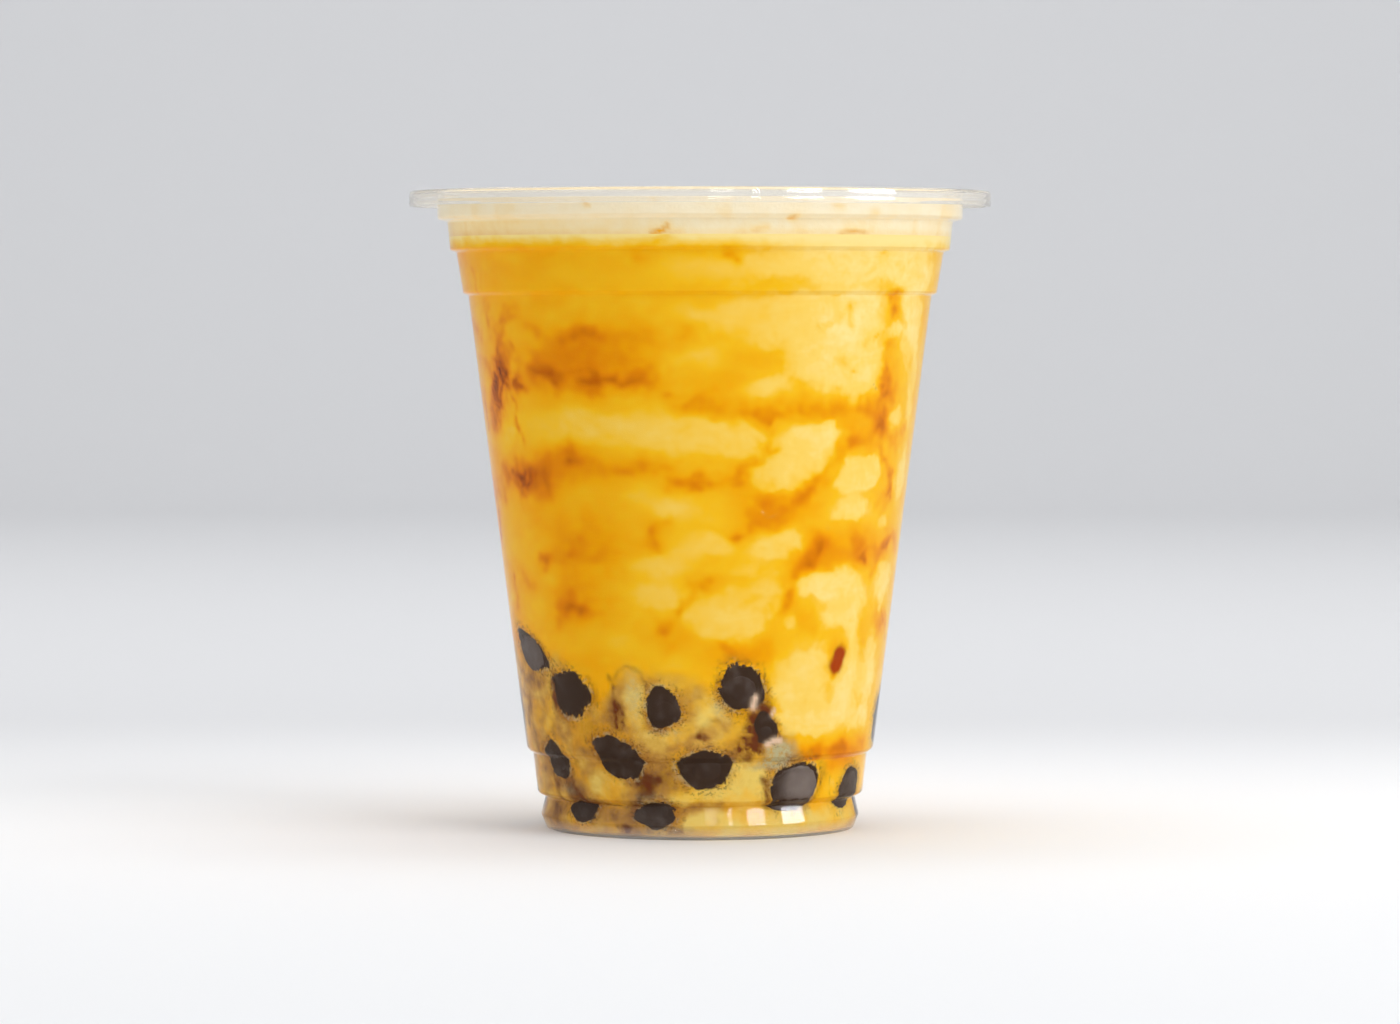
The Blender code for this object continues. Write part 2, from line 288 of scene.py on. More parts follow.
MILK_PATCHES = (
    # The broad pale band under the long streak
    Patch(-43, 66.2, 24, 7.4, 0.75),
    Patch(-18, 65.8, 26, 7.6, 0.95),
    Patch(4, 64.4, 20, 6.4, 1.05),
    Patch(-64, 64.8, 9, 9, 0.60),
    Patch(14, 63.0, 7, 6, 0.60),
    # Pale places of the upper left and the middle
    Patch(-56, 80.4, 6, 5, 0.40),
    Patch(-47, 80.4, 7, 3.4, 0.45),
    Patch(-55, 76.8, 3.4, 3.4, 0.50),
    Patch(-7, 77.4, 11, 3.8, 0.55),
    Patch(-3.5, 84, 7, 4.4, 0.50),
    Patch(4.5, 83.8, 9, 4.6, 0.55),
    Patch(3, 77.2, 6, 4.4, 0.55),
    Patch(-70, 51, 9, 11, 0.45),
    Patch(-17.5, 55.3, 8, 3.6, 0.60),
    Patch(-8, 53.2, 7, 3.8, 1.00),
    Patch(-48.5, 41.8, 6, 3.6, 0.50),
    Patch(-57, 36.6, 7, 5.4, 0.40),
    Patch(-11, 44.2, 10, 4.6, 1.00),
    Patch(-12, 39.0, 10, 5.6, 0.95),
    Patch(2.5, 36.8, 10, 6.0, 0.95),
    Patch(9.5, 38, 6, 5.6, 0.85),
    Patch(-21, 31.6, 11, 4.4, 0.40),
    Patch(-32, 33.0, 12, 5, 0.28),
    Patch(-9, 28.8, 9, 3.8, 0.35),
    Patch(4, 51.8, 11, 3, 0.40),
    Patch(2, 47.4, 11, 4.6, 0.95),
    Patch(6, 43.0, 5, 2.4, 0.20),
    Patch(3, 33.4, 7, 3.4, 0.70),
    Patch(13, 33.4, 6, 4.2, 0.55),
    # The pale upper right
    Patch(34, 79.8, 22, 16, 1.20),
    Patch(45, 77, 11, 15, 1.00),
    Patch(25, 84.6, 22, 5.6, 0.85),
    Patch(13, 86, 10, 3.4, 0.35),
    Patch(45, 86, 14, 5, 0.80),
    Patch(68, 82, 9, 14, 1.10),
    Patch(63, 86, 6, 5, 0.90),
    Patch(58.5, 81.0, 5, 3.0, 0.80),
    Patch(16.5, 72.0, 9, 4.0, 0.85),
    Patch(12, 81.4, 14, 5, 0.55),
    Patch(20, 80.8, 8, 4, 0.50),
    Patch(27, 75.6, 6, 4, 0.40),
    Patch(64, 67.6, 5, 3.6, 0.75),
    Patch(74, 71, 5, 14, 0.80),
    # Cells of milk between the lines of syrup
    Patch(28.5, 62.4, 11.5, 8.4, 1.40, 14),
    Patch(18.5, 58.4, 6.5, 5.4, 1.00, 10),
    Patch(34.5, 65.4, 6, 4, 1.00),
    Patch(22, 57.2, 6, 2.6, 0.60),
    Patch(47.5, 58.8, 10.5, 6.4, 1.40, 8),
    Patch(54, 58.8, 6.5, 5.4, 1.25),
    Patch(48, 52.8, 13, 4.6, 0.90),
    Patch(62.5, 50.8, 5, 2.8, 0.60),
    Patch(73, 58, 7, 9, 1.00),
    Patch(21.5, 47.0, 9.5, 5.0, 1.00, 12),
    Patch(36.5, 40.8, 9.5, 4.6, 1.20),
    Patch(46, 41.2, 8.5, 5.4, 1.15, 20),
    Patch(55, 39, 7, 6, 0.75),
    Patch(70, 40.5, 8, 8.4, 1.10, 35),
    Patch(16.5, 35.8, 7, 5.6, 0.80),
    Patch(20, 40.4, 7, 5.4, 0.75),
    Patch(28, 35.4, 5, 4.2, 0.55),
    Patch(45, 35.8, 11, 4.8, 0.85),
    Patch(53, 34, 5, 6, 0.75),
    Patch(78, 32, 5, 8, 0.60),
    Patch(37, 27, 15, 9.6, 0.90),
    Patch(30, 22, 9, 7.4, 0.80),
    Patch(54, 26, 7, 13, 1.00),
    Patch(66, 26, 6, 14, 0.95),
    Patch(46, 19.6, 14, 6.4, 0.85),
    Patch(34, 18.4, 10, 4, 0.60),
    Patch(64, 18.4, 8, 5, 0.65),
    Patch(58, 8, 11, 6, 0.30),
    # Just under the foam
    Patch(38, 92.4, 30, 8, 1.15),
    Patch(44, 95.0, 34, 4, 0.80),
    Patch(64, 91, 16, 8, 1.00),
    Patch(12, 91.4, 16, 5, 0.60),
    Patch(-4, 91, 14, 5, 0.50),
    Patch(-30, 90.6, 24, 5, 0.25),
)

DEEP_PATCHES = (
    Patch(-30, 77.4, 28, 12, 0.14),
    Patch(-44, 73.8, 14, 5, 0.06),
    Patch(-54, 57.6, 16, 6.5, 0.14),
    Patch(-40, 59.6, 18, 7, 0.10),
    Patch(-36, 45.4, 20, 13, 0.10),
    Patch(-42, 36.6, 12, 6, 0.10),
    Patch(-26, 50, 16, 10, 0.04),
    Patch(12, 76, 12, 5, 0.03),
    Patch(22, 76.5, 7, 5, 0.04),
    Patch(30, 69, 26, 3.6, 0.06),
    Patch(55.5, 69, 7, 13, 0.12),
    Patch(20, 53, 14, 5, 0.10),
    Patch(38, 61, 12, 5, 0.06, 40),
    Patch(40, 46.6, 20, 7, 0.12),
    Patch(64, 46.4, 12, 6, 0.10),
    Patch(34, 35.4, 5, 4.6, 0.14),
    Patch(24.5, 36.4, 5, 5, 0.12),
    Patch(14, 31.0, 12, 4.6, 0.10),
    Patch(70, 34, 6, 5, 0.12),
    Patch(52, 13.8, 22, 4.4, 0.14),
    Patch(-6, 33, 16, 4.6, 0.08),
)

# Starch smeared on the wall beside the pearls of the front
SMEAR_PATCHES = (
    Patch(27.5, 14.2, 5.6, 3.8, 0.95, 10),
    Patch(25, 12.2, 7.4, 2.0, 0.75, 8),
    Patch(29.5, 11.6, 5.5, 1.6, 0.50, -20),
    Patch(-21.5, 23.0, 2.6, 9.0, 0.40, 4),
    Patch(6.6, 21.6, 2.2, 5.6, 0.45, 28),
    Patch(-11.4, 17.4, 5.0, 0.9, 0.50),
    Patch(-18, 7.0, 5.0, 2.2, 0.35),
    Patch(-31.5, 15.0, 2.2, 0.8, 0.45, -40),
    Patch(-6, 9.8, 2.8, 0.7, 0.50, -35),
    Patch(-53, 7.6, 5, 2.2, 0.25),
    Patch(-12, 1.6, 9, 2.2, 0.35),
)

# Pale shreds on the wall between two pearls
SLIVER_STROKES = (
    Stroke(((17.0, 21.6), (17.5, 23.1)), 0.40, 1.30),
    Stroke(((22.4, 15.5), (24.6, 16.1), (26.6, 16.1)), 0.38, 1.30),
    Stroke(((23.4, 20.2), (24.2, 21.0)), 0.25, 0.90),
)

# The burnt spot of the lower right
SPOT_STROKES = (Stroke(((48.3, 29.5), (46.9, 27.8)), 1.15, 1.20),)

FOAM_FLECKS = (
    Stroke(((20.0, 99.3), (21.0, 99.4)), 0.35, 0.55),
    Stroke(((-25.2, 101.6), (-24.6, 101.2)), 0.35, 0.40),
    Stroke(((-10.4, 102.4), (-10.2, 102.2)), 0.20, 0.60),
    Stroke(((-10.4, 96.7), (-8.2, 97.3), (-7.2, 98.0)), 0.45, 0.50),
    Stroke(((30, 101.2), (32, 101.0)), 0.5, 0.20),
    Stroke(((40, 100.2), (41.4, 100.2)), 0.5, 0.18),
    Stroke(((12, 97.3), (15, 97.9)), 0.5, 0.20),
    Stroke(((33, 96.8), (37, 97.2), (40, 96.9)), 0.35, 0.34),
)

# Starch from the pearls clouds the tea below these heights, each at its azimuth
MURK_AZIMUTHS = (-180, -130, -88, -62, -46, -34, -27, -12, 0, 7, 19, 32, 38, 46, 88, 110, 140, 180)
MURK_HEIGHTS = (21, 24, 32, 31, 28.5, 22, 27.6, 27.4, 26, 22.6, 18, 18.2, 13, 5, 4, 15, 20, 21)
CLOUD_PATCHES = (
    # Bright streams of fresh milk
    Patch(14.5, 9.6, 7.6, 7.6, -0.80),
    Patch(19.6, 8.0, 7.6, 5.4, -0.85),
    Patch(1, 7.0, 12, 2.6, -0.70),
    Patch(-9, 6.4, 5, 2.0, -0.45),
    Patch(-35, 8.4, 8, 4.6, -0.44, -14),
    Patch(-14, 16.4, 8, 3.0, -0.42),
    Patch(-1, 18.8, 6, 3.0, -0.22),
    Patch(-21.0, 23.0, 3.6, 8.4, -0.46),
    Patch(4, 21.4, 7, 5.0, -0.42),
    Patch(50, 8.2, 1.8, 4.6, -0.70),
    Patch(9, 2.8, 10, 4.4, -0.62),
    Patch(32, 3.0, 16, 5.0, -0.90),
    Patch(62, 3.0, 14, 5.0, -0.80),
    Patch(-3, 3.0, 6, 3.4, -0.50),
    Patch(58, 9.0, 5, 4.0, -0.30),
    # Darker clouds and smears
    Patch(-19, 7.2, 4.6, 2.6, 0.34),
    Patch(-49, 7.0, 5, 3.0, 0.30),
    Patch(-18, 9.4, 3.0, 1.9, 0.95),
    Patch(0.5, 16.8, 2.8, 0.9, 0.42),
    Patch(27, 16.4, 2.6, 1.6, 0.40),
    Patch(26, 13.4, 6, 2.2, 0.14),
    Patch(-68, 4, 5, 3.4, 0.26),
    Patch(-27, 1.6, 1.8, 1.2, 0.40),
    Patch(-54, 17.4, 4, 3, 0.14),
    Patch(-38, 17.6, 7, 3, 0.10),
    Patch(-36, 3.4, 8, 3, 0.14),
    Patch(-24, 4.6, 3, 3, 0.20),
    Patch(46, 8.6, 2.0, 5.4, 0.26),
    Patch(72, 8.4, 6, 6.6, 0.34),
)
STAIN_STROKES = (
    Stroke(((-27.6, 22.2), (-27.2, 20.4), (-26.8, 18.2)), 0.85, 1.15),
    Stroke(((-29.4, 26.4), (-28.8, 24.2), (-27.8, 22.0)), 0.5, 0.45),
    Stroke(((-28.4, 24.6), (-26.0, 27.2), (-22, 28.2), (-18.4, 27.0), (-16, 24.4)), 0.4, 0.40),
    Stroke(((-52.2, 26.0), (-53.6, 23.6), (-53.2, 21.4)), 0.8, 0.75),
    Stroke(((19.8, 20.6), (18.0, 18.2), (16.8, 15.8)), 1.5, 1.20),
    Stroke(((15.4, 15.3), (19.4, 15.3)), 1.1, 1.15),
    Stroke(((25.0, 17.6), (26.6, 16.8), (26.0, 15.8)), 0.3, 0.80),
    Stroke(((-62.6, 9.6), (-60, 7.4), (-58.6, 5.6)), 0.6, 0.50),
    Stroke(((23.4, 9.6), (24.4, 7.4), (24.2, 5.6)), 0.6, 0.75),
    Stroke(((-17.6, 9.8), (-16.4, 9.3)), 1.0, 1.25),
    Stroke(((-20, 8.4), (-17, 7.8)), 0.9, 0.45),
    Stroke(((-12.6, 10.6), (-9.6, 9.6)), 0.9, 0.40),
    Stroke(((7.4, 19.4), (3.4, 19.8), (-1.0, 17.0)), 0.5, 0.32),
    Stroke(((-0.6, 16.9), (2.0, 16.7)), 0.4, 0.75),
    Stroke(((-58, 5.4), (-40, 5.6), (-24, 5.3)), 0.3, 0.60),
    Stroke(((-24, 5.3), (-8, 5.5)), 0.25, 0.40),
    Stroke(((8.5, 14.4), (12, 13.4), (15.6, 13.2)), 0.7, 0.40),
    Stroke(((9.5, 8.6), (10.5, 12.6)), 0.5, 0.30),
    Stroke(((-43.6, 3.8), (-42.2, 4.4)), 0.8, 0.70),
    Stroke(((-27.4, 1.4), (-26.8, 1.3)), 0.7, 0.75),
    Stroke(((-11.6, 1.3), (-8.0, 1.3)), 0.75, 0.62),
    Stroke(((-31.4, 1.5), (-30.6, 1.4)), 0.5, 0.60),
    Stroke(((-49.5, 8.2), (-46, 6.8), (-44, 6.2)), 0.6, 0.60),
    Stroke(((-47.4, 14.0), (-46.6, 11.4)), 0.4, 0.40),
    Stroke(((-70, 22), (-71, 17), (-69, 13)), 0.8, 0.35),
    Stroke(((-37.4, 20.6), (-31.4, 19.0)), 1.0, 0.25),
    Stroke(((30.4, 12.6), (36, 12.8)), 0.35, 0.45),
    Stroke(((52, 9.6), (52.6, 6.0)), 0.3, 0.40),
)

# Tapioca pearls that show at the front: where each presses on the wall, and the size of the pressed patch
# with its turn, the direction of its tip, the share of it that is bare of milk, and how pale its painted
# sheen is
Pearl = namedtuple("Pearl", "azimuth height width tall turn tip bare pale", defaults=(0.0, None, 0.6, 0.0))
FRONT_PEARLS = (
    Pearl(-65, 29.8, 11.0, 5.0, -28, None, 0.85, 0.6),
    Pearl(-45, 23.0, 8.0, 7.2, 0, 120),
    Pearl(-11.8, 21.2, 5.6, 6.2, 0, 110),
    Pearl(12.8, 24.9, 6.6, 7.4, 20, 290),
    Pearl(21.6, 17.9, 3.8, 5.0, 20, 95, 0.4),
    Pearl(-28, 13.4, 9.4, 5.8, -30),
    Pearl(2.2, 11.7, 8.3, 6.3, 0, 200),
    Pearl(35.4, 8.5, 9.9, 7.9, 12, None, 0.9, 1.0),
    Pearl(-57.6, 12.4, 6.6, 5.4, -35, 300),
    Pearl(66, 7.8, 7.6, 6.0, 10, 230, 0.8, 0.15),
    Pearl(87, 18, 8.4, 9.6),
    Pearl(-16.8, 4.0, 7.4, 4.4, 0, 10),
    Pearl(-47.5, 4.2, 6.8, 3.8, 0, 190),
)
# Rows of pearls at the sides and the back: their heights with the share of the places that are taken, the
# azimuths that the lowest row starts and all rows end at, and how much further each next row starts
BACK_ROWS = ((5.0, 0.95), (11.5, 0.9), (18.5, 0.8), (25.5, 0.4))
BACK_START = 84.0
BACK_END = 286.0
ROW_SHIFT = 11.0
LEAST_SPACING = 7.6

# Fine drops on the outside of the wall: azimuth, height and radius
WALL_DROPS = (
    (50.6, 72.8, 0.22),
    (51.6, 72.2, 0.30),
    (17.0, 52.7, 0.28),
    (17.9, 52.3, 0.22),
    (19.0, 51.9, 0.20),
    (20.2, 52.0, 0.32),
    (21.0, 52.5, 0.18),
    (38.2, 49.9, 0.26),
    (37.8, 50.6, 0.16),
    (-8.9, 1.7, 0.55),
)

# Lamps of the studio: name, place in metres, width, power and the point that they face
LAMPS = (
    ("key", (0.95, -0.75, 0.75), 0.9, 8.5, (0.0, 0.0, 0.05)),
    ("fill", (-1.1, -0.8, 0.6), 1.0, 2.8, (0.0, 0.0, 0.05)),
    ("above", (0.1, 0.1, 1.4), 1.6, 6.0, (0.0, 0.0, 0.05)),
    ("behind", (0.0, 0.5, 1.5), 1.6, 14.0, (0.0, 2.0, 0.4)),
)
# Windows that only show as gloss on the plastic: azimuth, width in metres and power
WINDOWS = ((72.0, 0.42, 95.0), (42.0, 0.3, 42.0), (22.0, 0.06, 6.0), (8.0, 0.2, 7.0))
WINDOW_DISTANCE = 1.2
WINDOW_HEIGHT = 0.42
WINDOW_TALL = 0.66
WINDOW_TARGET = (0.0, 0.0, 0.1)
SKY_COLOUR = (0.92, 0.95, 1.0, 1.0)
SKY_STRENGTH = 0.45


def screen(red, green, blue):
    """The linear colour, with alpha, of 8-bit screen values."""
    shares = [value / 255 for value in (red, green, blue)]
    linear = [share / 12.92 if share <= 0.04045 else ((share + 0.055) / 1.055) ** 2.4 for share in shares]
    return (*linear, 1.0)


WATER_IOR = 1.33
WATER_TINTS = (screen(255, 255, 252), screen(250, 252, 255))


def colour_property(name, description, default):
    """A colour that the user may change."""
    return FloatVectorProperty(
        name=name, description=description, default=default, size=4, min=0.0, max=1.0, subtype="COLOR"
    )


class BubbleTeaCup(bpy.types.PropertyGroup):
    """Clear plastic of the cup"""

    tint: colour_property("Tint", "Colour that light takes on in the plastic", screen(252, 253, 252))
    haze: colour_property("Haze", "Milky colour of the thick rim", screen(252, 248, 240))
    ior: FloatProperty(name="IOR", description="How much it bends light", default=1.14, min=1.0, max=1.7)
    wave: FloatProperty(name="Wave", description="Depth of its unevenness", default=0.02 * MM, unit="LENGTH")


class BubbleTeaDrink(bpy.types.PropertyGroup):
    """Milk tea and its syrup"""

    pale: colour_property("Pale milk", "Milk with hardly any tea in it", screen(255, 230, 154))
    cream: colour_property("Cream", "Light milk tea", screen(253, 213, 102))
    yellow: colour_property("Yellow", "Milk tea with a little syrup", screen(250, 192, 26))
    amber: colour_property("Amber", "Thin syrup", screen(246, 168, 2))
    orange: colour_property("Orange", "Syrup", screen(232, 136, 2))
    burnt: colour_property("Burnt", "Thick syrup", screen(196, 98, 4))
    dark: colour_property("Dark", "Sugar at its thickest", screen(116, 50, 14))
    stream: colour_property("Stream", "Fresh milk between the pearls", screen(238, 205, 104))
    halo: colour_property("Halo", "Paler murk", screen(218, 172, 76))
    murk: colour_property("Murk", "Milk tea clouded by the pearls' starch", screen(190, 138, 62))
    silt: colour_property("Silt", "Murk at its darkest", screen(144, 100, 56))
    ember: colour_property("Ember", "A lump of burnt sugar", screen(168, 62, 12))
    ruby: colour_property("Ruby", "Thick sugar that stains the milk", screen(106, 54, 28))
    dregs: colour_property("Dregs", "Sugar that stains the milk beside a pearl", screen(92, 56, 36))
    smear: colour_property("Smear", "Starch that clings to the wall", screen(186, 176, 134))
    sliver: colour_property("Sliver", "Shreds of pearl and starch on the wall", screen(230, 198, 168))
    # Painted shade round a pearl, in the colour of the darker syrup there
    shadow: colour_property("Shadow", "Syrup that darkens round a pearl", screen(150, 88, 28))


class BubbleTeaPearls(bpy.types.PropertyGroup):
    """Tapioca pearls"""

    diameter: FloatProperty(name="Diameter", description="Size of a pearl", default=9.2 * MM, unit="LENGTH")
    skin: colour_property("Skin", "Colour of a cooked pearl", screen(60, 44, 34))
    # Sheen colours random paler patches, and also a painted sheen on the outer side of the pale pearls
    sheen: colour_property("Sheen", "Paler colour of a pearl's worn spots", screen(120, 108, 102))


class BubbleTeaFoam(bpy.types.PropertyGroup):
    """Milk foam"""

    foam: colour_property("Foam", "Colour of the foam", screen(255, 244, 216))
    shade: colour_property("Shade", "Deeper colour low in the foam", screen(252, 224, 164))
    # Deep also colours the painted shade on the left of the foam
    deep: colour_property("Deep", "Foam that has taken up tea", screen(244, 200, 126))
    skin: colour_property("Bubble skin", "Darker colour of a bubble", screen(250, 226, 172))
    shine: colour_property("Bubble shine", "Paler colour of a bubble", screen(255, 243, 214))
    bubbles: IntProperty(name="Bubbles", description="Number of bubbles on top", default=900, min=0, max=2000)


class BubbleTeaStage(bpy.types.PropertyGroup):
    """Plain studio round the cup"""

    floor: colour_property("Floor", "Colour of the floor", screen(244, 244, 244))
    backdrop: colour_property("Backdrop", "Colour of the backdrop", screen(214, 214, 215))
    focal: FloatProperty(name="Lens", description="Focal length in millimetres", default=149.0, unit="CAMERA")
    distance: FloatProperty(name="Distance", description="From camera to cup", default=0.948, unit="LENGTH")
    eye: FloatProperty(name="Eye", description="The camera's height", default=0.0862, unit="LENGTH")
    tilt: FloatProperty(
        name="Tilt",
        description="How far the camera looks down",
        default=math.radians(2.09),
        unit="ROTATION",
    )


def settings():
    """The user's sizes and colours, which sit on the scene."""
    return bpy.context.scene.bubble_tea


# Outlines, as points of radius and height in millimetres


def rounded(corners, radii):
    """The outline through the corners, each rounded by its radius."""
    outline = []
    for index, corner in enumerate(corners):
        radius = radii[index]
        if radius == 0 or index in (0, len(corners) - 1):
            outline.append(corner)
            continue
        before = (corners[index - 1] - corner).normalized()
        after = (corners[index + 1] - corner).normalized()
        half_angle = before.angle(after) / 2
        cut = radius / math.tan(half_angle)
        centre = corner + (before + after).normalized() * radius / math.sin(half_angle)
        start = corner + before * cut - centre
        sweep = start.angle_signed(corner + after * cut - centre)
        for step in range(ROUND_CHORDS + 1):
            turn = -sweep * step / ROUND_CHORDS
            across = Vector((-start.y, start.x))
            outline.append(centre + start * math.cos(turn) + across * math.sin(turn))
    return outline


def inset(outline, distance):
    """The outline moved by distance to the right of its direction, with its corners kept sharp."""
    moved = []
    for index, here in enumerate(outline):
        normals = []
        for first, second in ((index - 1, index), (index, index + 1)):
            if first >= 0 and second < len(outline):
                run = (outline[second] - outline[first]).normalized()
                normals.append(Vector((run.y, -run.x)))
        bisector = sum(normals, Vector((0.0, 0.0))).normalized()
        moved.append(here + bisector * distance / bisector.dot(normals[0]))
    return moved


def wall_corners():
    """Corners of the outer wall from under the rim down to the middle of the base, with their radii."""
    corners = []
    radii = []
    for index, band in enumerate(BANDS):
        corners += [Vector((band.top_radius, band.top)), Vector((band.bottom_radius, band.bottom))]
        radii += [LEDGE_ROUND if index else 0.0, band.edge_round]
    ring = ((FOOT_OUTER_RADIUS, 0.0), (FOOT_INNER_RADIUS, 0.0))
    for corner in (WAIST, FOOT_BELLY, *ring, BASE_PANEL, (0.0, BASE_PANEL[1])):
        corners.append(Vector(corner))
    radii += [LEDGE_ROUND, FOOT_ROUND, FOOT_ROUND, LEDGE_ROUND, LEDGE_ROUND, 0.0]
    return corners, radii


def inner_wall(distance):
    """Outline of the space inside the wall, from the top down, at a distance from the outer wall."""
    corners, _ = wall_corners()
    outline = inset(corners, distance)
    outline[-1].x = 0.0
    return outline


def height_on(outline, height):
    """The point where an outline that runs downwards crosses a height."""
    for above, below in zip(outline, outline[1:]):
        if above.y >= height >= below.y and above.y > below.y:
            return above.lerp(below, (above.y - height) / (above.y - below.y))
    raise ValueError("the outline does not reach this height")


def part_between(outline, top, bottom):
    """The stretch of a downward outline between two heights, cut cleanly at both."""
    middle = [here for here in outline if bottom < here.y < top]
    return [height_on(outline, top)] + middle + [height_on(outline, bottom)]


def finely(outline, spacing):
    """The outline with points added so that none lie further apart than the spacing."""
    points = [outline[0]]
    for start, end in zip(outline, outline[1:]):
        steps = max(1, math.ceil((end - start).length / spacing))
        points += [start.lerp(end, step / steps) for step in range(1, steps + 1)]
    return points


def lip_outline():
    """The lip's outer face, from the rim's top edge down to its foot, with two low beads."""
    face = []
    top = CUP_HEIGHT - MOUTH_ROUND
    depth = LIP_DEPTH - MOUTH_ROUND
    for step in range(ROUND_CHORDS * 4 + 1):
        share = step / (ROUND_CHORDS * 4)
        bulge = LIP_BULGE * abs(math.sin(2 * math.pi * share))
        face.append(Vector((RIM_RADIUS - LIP_BULGE + bulge, top - depth * share)))
    return face


def cup_outline():
    """Closed section of the cup, from the middle of its floor over the rim to the middle of its base."""
    corners, radii = wall_corners()
    inner_corners = list(reversed(inner_wall(WALL)))
    inner_corners = [here for here in inner_corners if here.y < CUP_HEIGHT - 2 * WALL]
    mouth = Vector((corners[0].x - WALL, CUP_HEIGHT))
    brim = Vector((RIM_RADIUS - LIP_BULGE, CUP_HEIGHT))
    face = lip_outline()
    under = [
        Vector((RIM_RADIUS - LIP_BULGE - WALL, CUP_HEIGHT - LIP_DEPTH)),
        Vector((RIM_RADIUS - LIP_BULGE - WALL, CUP_HEIGHT - WALL)),
    ]
    inside = rounded(inner_corners, [LEDGE_ROUND] * len(inner_corners))
    over = rounded([inside[-1], mouth, brim, face[0]], [0.0, MOUTH_ROUND, BRIM_ROUND, 0.0])
    under_radii = [0.0, LIP_FOOT_ROUND, UNDER_RIM_ROUND, UNDER_RIM_ROUND]
    below = rounded([face[-1]] + under + corners, under_radii + radii[1:])
    return inside[:-1] + over[:-1] + face[:-1] + below


def tea_outline():
    """Section of the milk tea, from the middle of its top down the wall to the middle of the cup's floor."""
    wall = inner_wall(WALL - INTO_WALL)
    side = [height_on(wall, TEA_TOP)] + [here for here in wall if here.y < TEA_TOP]
    return [Vector((0.0, TEA_TOP))] + rounded(side, [LEDGE_ROUND] * len(side))


def foam_outline():
    """Section of the foam, with a top that curves up a little at the wall."""
    wall = inner_wall(WALL - INTO_WALL)
    edge = height_on(wall, DRINK_LEVEL + MENISCUS_RISE)
    flat_radius = edge.x - MENISCUS_WIDTH
    top = [Vector((0.0, DRINK_LEVEL)), Vector((flat_radius, DRINK_LEVEL))]
    for step in range(1, ROUND_CHORDS * 2):
        share = step / (ROUND_CHORDS * 2)
        top.append(Vector((flat_radius + MENISCUS_WIDTH * share, DRINK_LEVEL + MENISCUS_RISE * share**2)))
    side = part_between(wall, edge.y, TEA_TOP)
    return top + rounded(side, [LEDGE_ROUND] * len(side)) + [Vector((0.0, TEA_TOP))]


def wall_profile(distance):
    """Heights and radii of the wall, rising, for looking up the radius at a height."""
    corners = inner_wall(distance)
    outline = rounded(corners, [LEDGE_ROUND] * len(corners))
    side = [here for here in outline if here.x > FOOT_INNER_RADIUS + 1.0]
    heights = np.array([here.y for here in reversed(side)])
    radii = np.array([here.x for here in reversed(side)])
    order = np.argsort(heights, kind="stable")
    return heights[order], radii[order]


# Meshes


def turned(name, outline, segments):
    """An object turned about Z from an outline in millimetres that starts and ends on the axis."""
    angles = np.linspace(0.0, 2 * math.pi, segments, endpoint=False)
    rings = outline[1:-1]
    points = [(0.0, 0.0, outline[0].y * MM)]
    for here in rings:
        level = np.full(segments, here.y)
        ring = np.stack([np.cos(angles) * here.x, np.sin(angles) * here.x, level], axis=1)
        points += (ring * MM).tolist()
    points.append((0.0, 0.0, outline[-1].y * MM))
    return mesh_object(name, points, round_faces(len(rings), segments))


def round_faces(rows, segments):
    """Faces over rows of points that run round an axis, with one more point at either end."""
    last = rows * segments + 1
    bottom = last - segments
    faces = []
    for step in range(segments):
        after = (step + 1) % segments
        faces.append((0, 1 + step, 1 + after))
        for row in range(rows - 1):
            here = 1 + row * segments
            below = here + segments
            faces.append((here + step, below + step, below + after, here + after))
        faces.append((bottom + step, last, bottom + after))
    return faces


def mesh_object(name, points, faces):
    """A smooth shaded object of these points, in metres, and faces."""
    mesh = bpy.data.meshes.new(name)
    mesh.from_pydata(points, [], faces)
    mesh.shade_smooth()
    mesh.set_sharp_from_angle(angle=CORNER)
    piece = bpy.data.objects.new(name, mesh)
    bpy.context.scene.collection.objects.link(piece)
    return piece


def points_of(piece):
    """The piece's points in millimetres, one row each."""
    flat = np.zeros(len(piece.data.vertices) * 3)
    piece.data.vertices.foreach_get("co", flat)
    return flat.reshape(-1, 3) / MM


def move_points(piece, points):
    """Put the piece's points at these places, in millimetres."""
    piece.data.vertices.foreach_set("co", (points * MM).ravel())
    piece.data.update()


def store(piece, name, values):
    """Keep a number for each point, for the material to read."""
    attribute = piece.data.attributes.new(name, "FLOAT", "POINT")
    attribute.data.foreach_set("value", np.asarray(values, dtype=np.float32))


def dress(piece, material):
    """Give the piece its material and its body."""
    piece.data.materials.append(material)
    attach(piece, "root")
    return piece


# Fields over the points


def fade(values, start, end):
    """0 before start, 1 after end, and smooth between them."""
    share = np.clip((values - start) / (end - start), 0.0, 1.0)
    return share * share * (3 - 2 * share)


def waves(points, size, seed, octaves=4):
    """Smooth noise from about -1 to 1 with features of this size in millimetres."""
    shift = Vector((seed * 17.3, seed * 5.1, seed * 9.7))
    places = points / size
    return np.array([noise.fractal(Vector(place) + shift, 0.9, 2.0, octaves) for place in places])


def azimuths(points):
    """Degrees to the right of the front, from -180 to 180."""
    return np.degrees(np.arctan2(points[:, 0], -points[:, 1]))


def turn_to(azimuth, centre):
    """Degrees from a centre to an azimuth, the short way round."""
    return (azimuth - centre + 180.0) % 360.0 - 180.0


